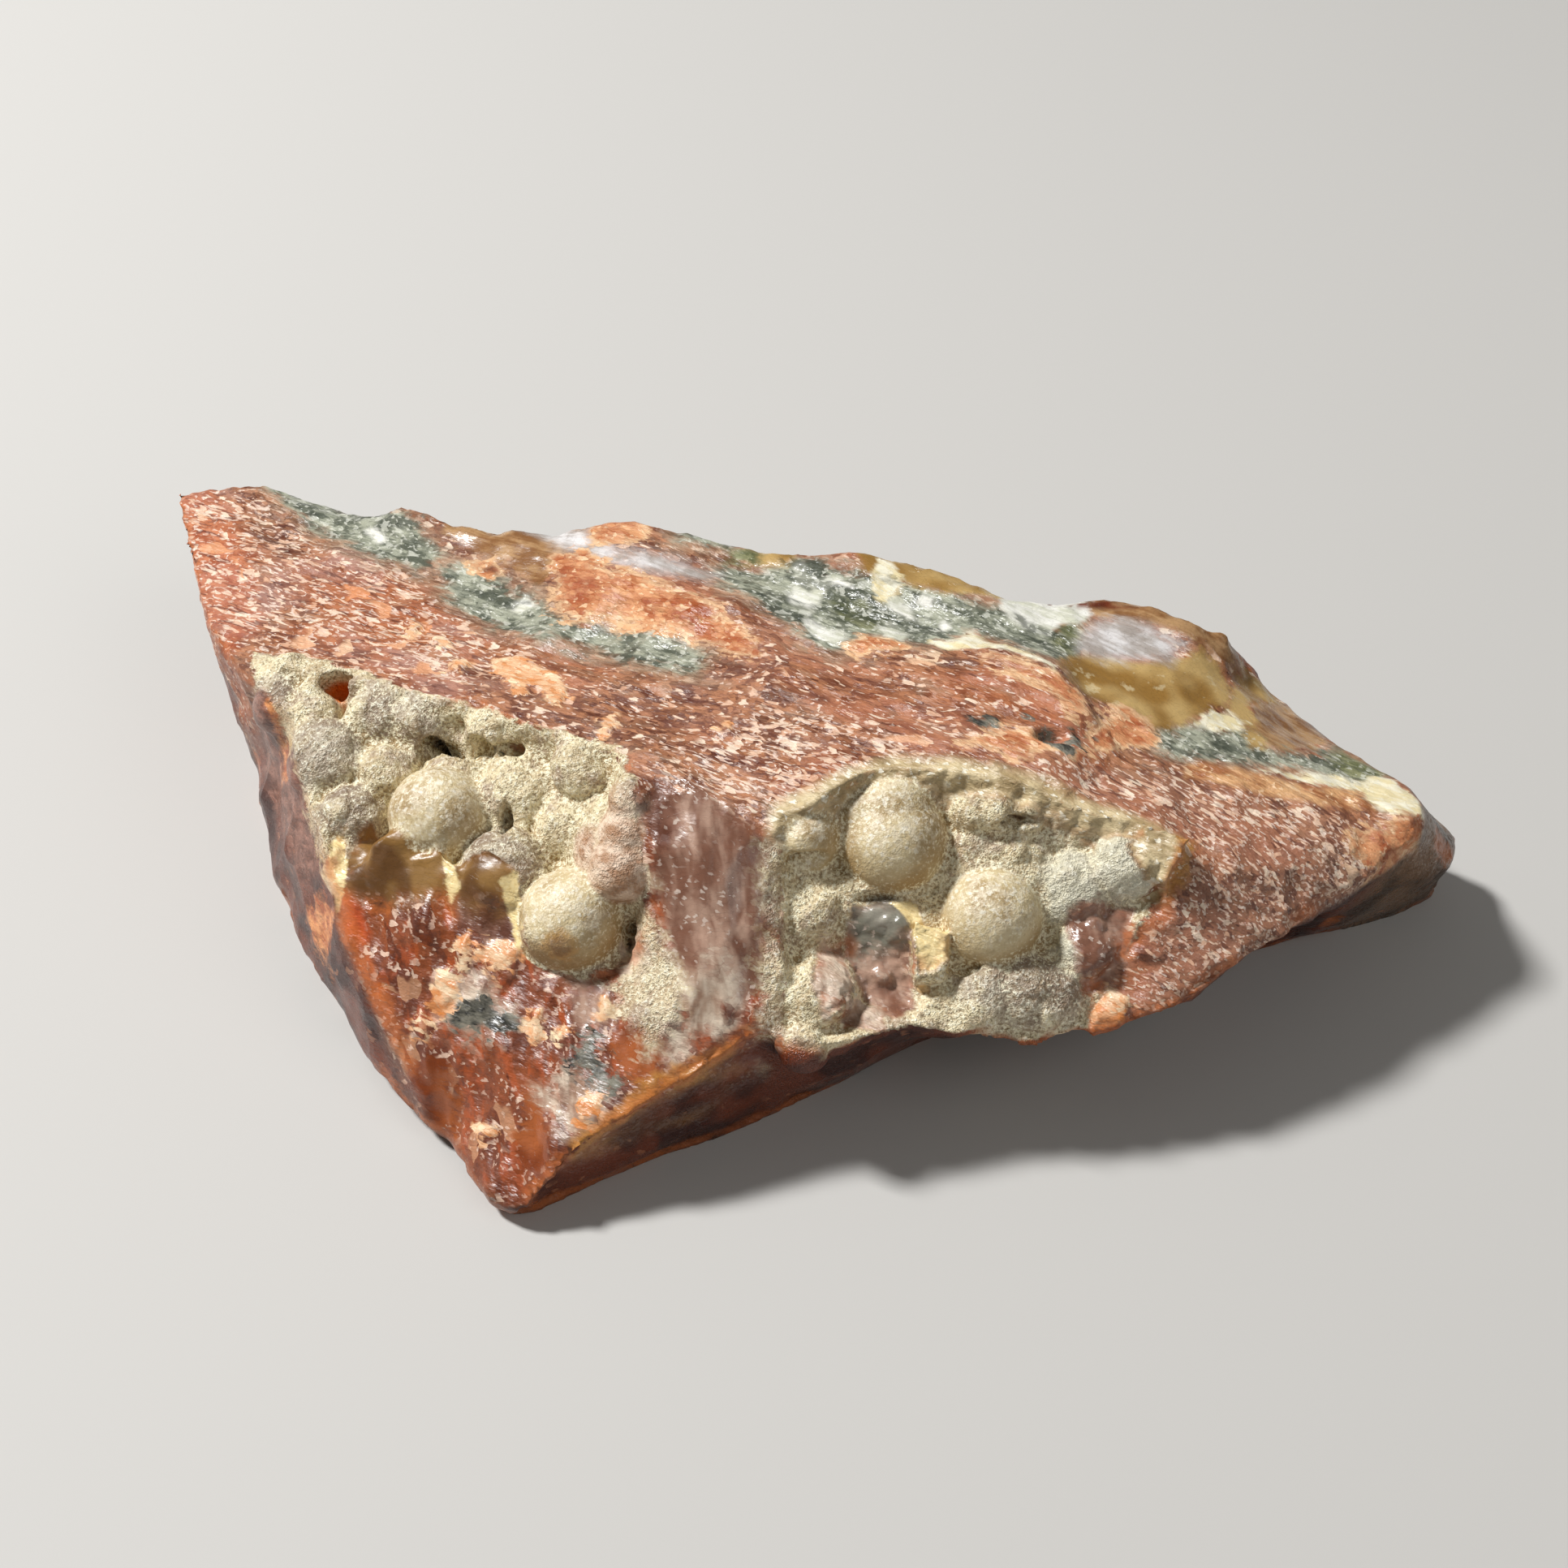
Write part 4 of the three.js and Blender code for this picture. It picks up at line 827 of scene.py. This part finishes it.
def jasper_material():
    material = empty_material("jasper")
    tree = material.node_tree
    inputs = {0: node(tree, "ShaderNodeTexCoord")["Object"], "Scale": 1 / MM}
    place = node(tree, "ShaderNodeVectorMath", inputs, operation="SCALE")
    grain = place.stretched(GRAIN_ANGLE, (2.4, 1, 1))
    slope = place.stretched(SLOPE_ANGLE, (2.6, 1, 1.6))

    middle = flakes_of(grain, 0.8, 3)
    small = flakes_of(grain, 2.2, 17)
    tiny = flakes_of(grain, 4.8, 29)
    steps = flakes_of(slope, 1, 41)
    grit = place.noise(4.4, 2, 0.75)

    # Ragged borders: whole flakes fall on one side or the other of a zone's edge.
    ragged = (grain.noise(0.6, 2, 0.6) - 0.5) * 2.6 + (middle.number - 0.5) * 0.4
    ragged = ragged + (small.number - 0.5) * 0.7 + (tiny.number - 0.5) * 0.35

    def mark(name):
        return node(tree, "ShaderNodeAttribute", attribute_name=name)["Fac"]

    def share(name, softness, amount=1, offset=0):
        """1 inside the zone of that name, with a ragged border."""
        return (mark(name) + ragged * amount).ramp(offset - softness, offset + softness)

    def slivers(length, width, seed, dense):
        """Thin slivers along the grain, the more the higher dense is."""
        moved = place.vector("ADD", (seed, seed, seed))
        found = moved.stretched(GRAIN_ANGLE, (length, width, width * 1.3)).noise(1, 1, 0.6)
        low = dense.blend(0.67, 0.585)
        return found.ramp(low, low + 0.035)

    flank = mark("flank")
    hollow = mark("hollow")
    facing = node(tree, "ShaderNodeSeparateXYZ", {0: node(tree, "ShaderNodeNewGeometry")["Normal"]})
    up = facing[2]
    slow = grain.noise(0.16, 2, 0.55)
    streak = grain.noise(0.55, 3, 0.62)
    fine = place.noise(2.4, 2, 0.65)
    mottle = middle.tone * 0.3 + (small.tone * 0.35 + tiny.tone * 0.35)
    veil = grain.noise(1.3, 3, 0.68).ramp(0.36, 0.66)
    cloud = place.noise(0.35, 1).ramp(0.38, 0.62)
    grey_mix = (mottle * 0.5 + veil * 0.5).ramp(0.15, 0.85)
    warm_mix = (mottle * 0.45 + streak * 0.6).ramp(0.3, 0.75)

    # Red-brown jasper, mottled flake by flake, with cream and pink flecks where flakes end.
    rich = mark("rich").ramp(-3, 2)
    speckled = mark("speckle").ramp(-1.6, 1.2)
    sloping = mark("slope").ramp(-1, 1.5)
    blush = grain.noise(0.32, 3, 0.6).ramp(0.46, 0.62)
    skin = Coat(mix(mottle.ramp(0.2, 0.8), (98, 52, 34), (178, 120, 84)))
    skin.lay(slow.ramp(0.44, 0.62) * 0.6, (182, 102, 58))
    skin.lay(blush * rich.blend(0.15, 0.6), (178, 138, 126))
    skin.lay(streak.ramp(0.52, 0.72) * 0.5, (160, 132, 108))
    skin.lay(streak.ramp(0.46, 0.28) * 0.65, (92, 46, 36))
    # Painted light: the right-hand slope is laid lighter.
    skin.lay(sloping * 0.5, (164, 118, 94))
    skin.lay(share("ember", 0.9, 0.8) * 0.65, mix(mottle, (166, 72, 38), (216, 134, 90)))
    clusters = grain.noise(0.55, 2, 0.6).ramp(0.4, 0.6)
    rosy = mix(tiny.tone, (206, 164, 140), (248, 230, 214))
    cream = mix(small.tone, (220, 170, 138), (246, 226, 202))
    for flakes, most, low, high, strength, tone in (
        (tiny, 0.45, 0.1, 0.3, 0.7, rosy),
        (small, 0.34, 0.08, 0.26, 0.85, cream),
    ):
        dense = (speckled | sloping * 0.6 | rich * 0.6) * clusters.blend(0.5, 1.3)
        skin.lay(lips(flakes, dense.blend(0.12, most), low, high) * strength, tone)
    dense = (speckled | sloping | rich) * clusters.blend(0.6, 1.1)
    for length, width, seed, strength, tone in (
        (2.4, 0.4, 21, 0.6, (84, 40, 32)), (1.5, 0.34, 5, 0.8, cream), (0.8, 0.22, 9, 0.75, rosy),
    ):
        skin.lay(slivers(length, width, seed, dense) * strength, tone)
    skin.lay(lips(middle, rich.blend(0.05, 0.15)) * 0.8,
             mix(middle.tone, (222, 146, 96), (240, 210, 176)))

    # Chalcedony of the back edge, laid zone over zone.
    lamellae = place.stretched(GRAIN_ANGLE, (5, 0.42, 0.5)).noise(1, 3, 0.6)
    layered = (lamellae * 0.8 + mottle * 0.2).ramp(0.36, 0.62)
    soft_layers = (lamellae * 0.4 + place.noise(0.5, 3) * 0.6).ramp(0.4, 0.6)
    patchy = lamellae * 0.3 + place.noise(0.7, 3, 0.6) * 0.45
    mossy = (patchy + mottle * 0.25).ramp(0.4, 0.6)
    halo = (share("slate", 0.7, 1, -1) | share("pale", 0.6, 1, -0.9)) * 0.65
    skin.lay(halo, mix(layered, (116, 86, 62), (176, 148, 122)))
    for name, softness, mixed, dark, light, amount in (
        ("umber", 0.4, soft_layers, (134, 91, 52), (184, 145, 102), 0.5),
        ("slate", 0.6, mossy, (88, 92, 78), (172, 174, 154), 0.9),
        ("olive", 0.4, cloud, (150, 112, 54), (196, 164, 106), 0.4),
        ("green", 0.5, mossy, (92, 96, 64), (146, 146, 108), 0.35),
        ("lilac", 0.8, soft_layers, (172, 162, 154), (226, 222, 220), 0.45),
        ("tan", 0.4, soft_layers, (158, 100, 60), (220, 172, 122), 0.3),
        ("orange", 0.35, warm_mix, (168, 88, 48), (224, 164, 116), 0.9),
        ("pale", 0.25, soft_layers, (206, 206, 186), (244, 242, 232), 0.2),
        ("butter", 0.25, mossy, (232, 216, 170), (248, 242, 218), 0.45),
    ):
        skin.lay(share(name, softness, amount), mix(mixed, dark, light))
    slaty = share("slate", 0.35, 0.7)
    skin.lay(slaty * streak.ramp(0.5, 0.36) * 0.7, (54, 60, 50))
    skin.lay((lips(tiny, 0.4) | lips(small, 0.25)) * slaty * 0.5, (228, 228, 214))
    inclusions = place.noise(0.9, 3, 0.6).ramp(0.6, 0.7)
    skin.lay(inclusions * share("olive", 0.4, 0.35, 0.3) * 0.5, (228, 212, 170))
    stony = slaty | share("pale", 0.35, 0.3)
    orange_edge = share("orange", 0.2, 0.9) * ~share("orange", 0.4, 0.9, 0.4)
    skin.lay(orange_edge * 0.55, (240, 212, 168))
    patches = share("orange", 0.2, 0.9) | share("tan", 0.2, 0.4)
    skin.lay((lips(small, 0.14) | lips(tiny, 0.2)) * patches * 0.6, (248, 214, 172))
    skin.lay(streak.ramp(0.44, 0.32) * patches * 0.6, (150, 72, 42))

    # The glassy front face.
    fall = slope.noise(0.9, 3, 0.6)
    runs = slope.noise(0.55, 3, 0.6, 0.3).ramp(0.4, 0.64)
    glass = Coat(mix((steps.tone * 0.5 + fine * 0.6).ramp(0.3, 0.8), (98, 42, 16), (146, 76, 40)))
    glass.lay(slow.ramp(0.45, 0.6) * 0.6, (112, 64, 48))
    glass.lay(fall.ramp(0.52, 0.64) * 0.55, (186, 86, 36))
    glass.lay(fall.ramp(0.46, 0.34) * 0.5, (84, 44, 34))
    glass.lay(lips(steps, 0.12, 0.2, 0.34) * 0.5, (214, 160, 120))
    glass.lay(lips(small, 0.2, 0.12, 0.28) * clusters * 0.8, (232, 200, 176))
    glass.lay(lips(tiny, 0.4) * clusters * 0.7, (226, 192, 170))
    front = mark("front").ramp(-0.6, 0.6) * ~flank
    skin.lay(front, glass.tone)
    for name, softness, mixed, dark, light, amount in (
        ("facet", 0.5, cloud, (124, 58, 26), (164, 90, 48), 1),
        ("mauve", 0.6, runs, (126, 86, 68), (182, 148, 128), 0.7),
        ("plum", 0.5, runs, (98, 56, 40), (148, 106, 88), 0.5),
        ("frost", 0.9, runs, (160, 126, 104), (226, 208, 186), 1.3),
        ("ash", 0.6, cloud, (124, 122, 108), (164, 158, 144), 0.5),
        ("black", 0.3, grey_mix, (28, 28, 24), (128, 124, 110), 1.1),
        # Painted glow: the bright orange-red strip at the left of the front face.
        ("glow", 0.4, fine, (168, 60, 22), (218, 96, 42), 0.4),
        ("rim", 0.5, soft_layers, (172, 148, 106), (214, 194, 152), 0.2),
        ("rind", 0.35, fine, (150, 94, 36), (212, 154, 82), 0.4),
        ("chip", 0.16, warm_mix, (214, 134, 72), (248, 222, 184), 0.8),
    ):
        covered = share(name, softness, amount) * up.ramp(-0.2, 0.1)
        skin.lay(covered, mix(mixed, dark, light))
    dome = mix(place.noise(0.4, 1).ramp(0.4, 0.62), (102, 68, 32), (148, 110, 58))
    skin.lay(share("amber", 0.9, 0.25, -0.2), dome)
    skin.lay(share("cream", 0.12, 0.25), mix(grit, (226, 192, 118), (254, 238, 188)))
    skin.lay(lips(tiny, 0.3) * share("mauve", 0.4) * clusters * 0.7, (222, 204, 190))

    # The dark red sides and underside, olive-brown on the end face, both laid darker as painted shade.
    side = Coat(mix(cloud, (60, 20, 8), (110, 49, 23)))
    spot = node(tree, "ShaderNodeSeparateXYZ", {0: place})
    side.lay(spot[0].ramp(33, 36.5), mix(cloud, (72, 50, 30), (118, 86, 58)))
    side.lay(lips(small, 0.14) * clusters * 0.45, (190, 128, 92))
    for name, softness, dark, light in (
        ("wall_mauve", 0.5, (112, 70, 54), (160, 112, 94)),
        ("wall_orange", 0.2, (182, 96, 50), (236, 162, 104)),
        ("wall_cream", 0.2, (206, 172, 120), (244, 226, 186)),
    ):
        wall = share(name, softness, 0.4) * spot[2].ramp(3, 5.5)
        side.lay(wall, mix(veil, dark, light))
    # At the back the bands of the top run on down the side.
    depth = spot[2] + (place.noise(0.3, 3) - 0.5) * 14
    carried = depth.ramp(9, 14) * facing[1].ramp(0.1, 0.5)
    body = Coat(mix(flank * ~carried, skin.tone, side.tone))
    domed = share("amber", 0.3, 0.2, -0.5)
    # Painted glow: orange laid along the sharp edges, as light through the thin rims, kept off flat tops
    # and dull-edged zones.
    glow = (mark("edge") + ragged * 0.3).ramp(0.3, 1) * slow.ramp(0.35, 0.5)
    glow = glow * ~share("dull_edge", 0.4) * up.ramp(0.97, 0.7)
    body.lay(glow * 0.6, (202, 112, 54))

    # The linings: grey-beige chalcedony under pale yellow druse.
    clots = place.noise(1.3, 3, 0.6).ramp(0.42, 0.6)
    white_grit = grit.ramp(0.53, 0.64)
    dark_grit = grit.ramp(0.47, 0.36)
    bare = place.noise(0.42, 3, 0.6).ramp(0.48, 0.62)
    lining = Coat(mix(cloud, (196, 174, 134), (228, 210, 170)))
    lining.lay(bare * 0.6, (160, 136, 124))
    lining.lay(mark("grey").ramp(-0.5, 0.1), mix(cloud, (150, 130, 110), (192, 178, 156)))
    lining.lay(mark("white").ramp(-0.8, 0.2), (212, 208, 186))
    plain_orb = mark("grey").ramp(-0.4, 0) | mark("white").ramp(-0.8, 0)
    crust = clots * plain_orb.blend(0.7, 0.25) * bare.blend(1, 0.35)
    lining.lay(crust, (246, 235, 196))
    lining.lay(white_grit * clots.blend(0.5, 0.9), (254, 249, 230))
    pits = dark_grit * mark("white").ramp(-0.8, 0).blend(clots.blend(0.45, 0.8), 0.2)
    lining.lay(pits, (124, 96, 60))
    pearly = Coat(mix(cloud, (174, 148, 104), (212, 193, 150)))
    pearly.lay(up.ramp(0.5, -0.3) * 0.4, (166, 130, 76))
    scales = up.ramp(0.2, 0.85) * place.noise(1.6, 4, 0.7).ramp(0.42, 0.6)
    pearly.lay(scales * 0.6, (240, 228, 202))
    pearly.lay(white_grit * up.blend(0.1, 0.6), (252, 244, 218))
    pearly.lay(lips(tiny, 0.3) * up.ramp(0.1, 0.7) * 0.6, (250, 244, 226))
    pearly.lay(dark_grit * 0.14, (140, 108, 62))
    window = mark("window") + (fine - 0.5) * 0.9
    honey = mix(window.ramp(0.1, 0.6), (198, 152, 86), (142, 94, 40))
    pearly.lay(window.ramp(-0.3, 0.2) * 0.7, honey)
    pearl = (mark("pearl") + (grit - 0.5) * 0.5).ramp(-0.3, 0)
    lining.lay(pearl, pearly.tone)
    dust = (hollow * 2.4 + (grit - 0.5) * 1.4).ramp(-0.02, 0.32) * 0.85
    lining.lay(dust, mix(grit.ramp(0.4, 0.6), (166, 136, 88), (252, 244, 212)))
    # Painted shade: the deepest hollows of the linings are laid dark brown.
    lining.lay(hollow.ramp(0.22, 0.5) * 0.7, (104, 80, 46))
    druse = share("druse", 0.12, 0.45) * ~flank * ~share("covered", 0.2, 0.3)
    druse = druse | pearl * ~flank
    druse = druse | share("dusty", 0.7, 0.9) * ~flank * 0.85
    body.lay(druse, lining.tone)
    frosting = share("rim", 0.5, 0.3) * ~druse * (lips(tiny, 0.22) | lips(small, 0.1))
    body.lay(frosting * 0.8, (248, 242, 222))
    glassy_orb = mark("glass").ramp(-0.35, 0) * ~flank
    body.lay(glassy_orb * 0.9, mix(veil, (174, 126, 92), (238, 212, 188)))
    # Painted shade: the carved gaps are laid near-black.
    body.lay(mark("gap").ramp(0.15, 0.8), (46, 30, 12))
    # Painted light: the pin hole is laid bright orange.
    body.lay(mark("pin").ramp(-0.3, 0.2), (222, 118, 28))

    clear = share("polished", 0.4) | (domed | glassy_orb)
    clear = clear * ~(druse * ~glassy_orb)
    gloss = clear | stony * 0.7 | (flank * 0.8 | front * 0.25)
    gloss = gloss * domed.blend(1, 0.35)
    roughness = gloss.blend(small.tone.blend(0.36, 0.6), 0.24)
    roughness = (druse * ~(pearl * 0.4)).blend(roughness, 0.5)

    # The relief takes its places from plain distances, because a bump works its inputs out three times.
    even = (mark("polished") | mark("amber")).ramp(-0.3, 0.3)
    relief = small.along * 0.16 + tiny.along * 0.10
    relief = relief * mark("front").ramp(-0.6, 0.6).blend(1, 0.55)
    relief = relief * even.blend(1, 0.2)
    grainy = mark("druse").ramp(-0.2, 0.2) * ~mark("covered").ramp(-0.2, 0.2)
    grainy = grainy | mark("dusty").ramp(-0.3, 0.3)
    relief = grainy.blend(relief, grit * mark("pearl").ramp(-0.3, 0).blend(0.22, 0.08))
    bump = node(tree, "ShaderNodeBump", {"Height": relief * MM, "Strength": 1, "Distance": 1.0})

    inputs = {"Base Color": body.tone, "Roughness": roughness, "Normal": bump, "IOR": QUARTZ_IOR}
    node(tree, "ShaderNodeOutputMaterial", {0: node(tree, "ShaderNodeBsdfPrincipled", inputs)})
    return material


# ---- stage

FLOOR_SIZE = 3.0


def make_floor():
    bpy.ops.mesh.primitive_plane_add(size=FLOOR_SIZE)
    floor = bpy.context.object
    floor.name = "floor"
    material = empty_material("pale_floor")
    inputs = {"Base Color": colour(196, 194, 190), "Roughness": 0.7}
    shader = node(material.node_tree, "ShaderNodeBsdfPrincipled", inputs)
    shader.node("ShaderNodeOutputMaterial", {0: shader})
    floor.data.materials.append(material)


def make_light(name, direction, distance, size, power):
    """A square soft light that looks at the stone from a direction."""
    data = bpy.data.lights.new(name, "AREA")
    data.size = size
    data.energy = power
    lamp = bpy.data.objects.new(name, data)
    lamp.location = Vector(direction).normalized() * distance
    lamp.rotation_euler = (-lamp.location).to_track_quat("-Z", "Y").to_euler()
    bpy.context.scene.collection.objects.link(lamp)


def make_stage():
    make_floor()
    make_light("key", (-0.58, 0.22, 0.79), 0.7, 0.10, 6.2)
    make_light("fill", (0.75, -0.55, 0.8), 1.0, 0.7, 1.5)
    world = bpy.data.worlds.new("studio")
    world.use_nodes = True
    background = world.node_tree.nodes["Background"]
    background.inputs["Color"].default_value = (0.9, 0.88, 0.85, 1.0)
    background.inputs["Strength"].default_value = 0.15
    bpy.context.scene.world = world
    bpy.context.scene.view_settings.view_transform = "Standard"


# The photograph's view: 45 degrees down, from 135 mm in front of a point above the stone's middle.
CAMERA_PITCH = math.radians(45)
CAMERA_DISTANCE = 135.0
CAMERA_TARGET = np.array([0.0, 0.0, 8.0]) - MODEL_ORIGIN
CAMERA_ANGLE = math.radians(40)
CAMERA_NEAREST = 0.005


def make_camera():
    data = bpy.data.cameras.new("camera")
    data.angle = CAMERA_ANGLE
    data.clip_start = CAMERA_NEAREST
    camera = bpy.data.objects.new("camera", data)
    back = np.array([0.0, -math.cos(CAMERA_PITCH), math.sin(CAMERA_PITCH)]) * CAMERA_DISTANCE
    camera.location = Vector((CAMERA_TARGET + back) * MM)
    camera.rotation_euler = (math.pi / 2 - CAMERA_PITCH, 0, 0)
    bpy.context.scene.collection.objects.link(camera)
    bpy.context.scene.camera = camera


make_camera()
make_stage()
stone = make_stone()
stone.data.materials.append(jasper_material())
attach(stone, "root")
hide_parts(STONE)
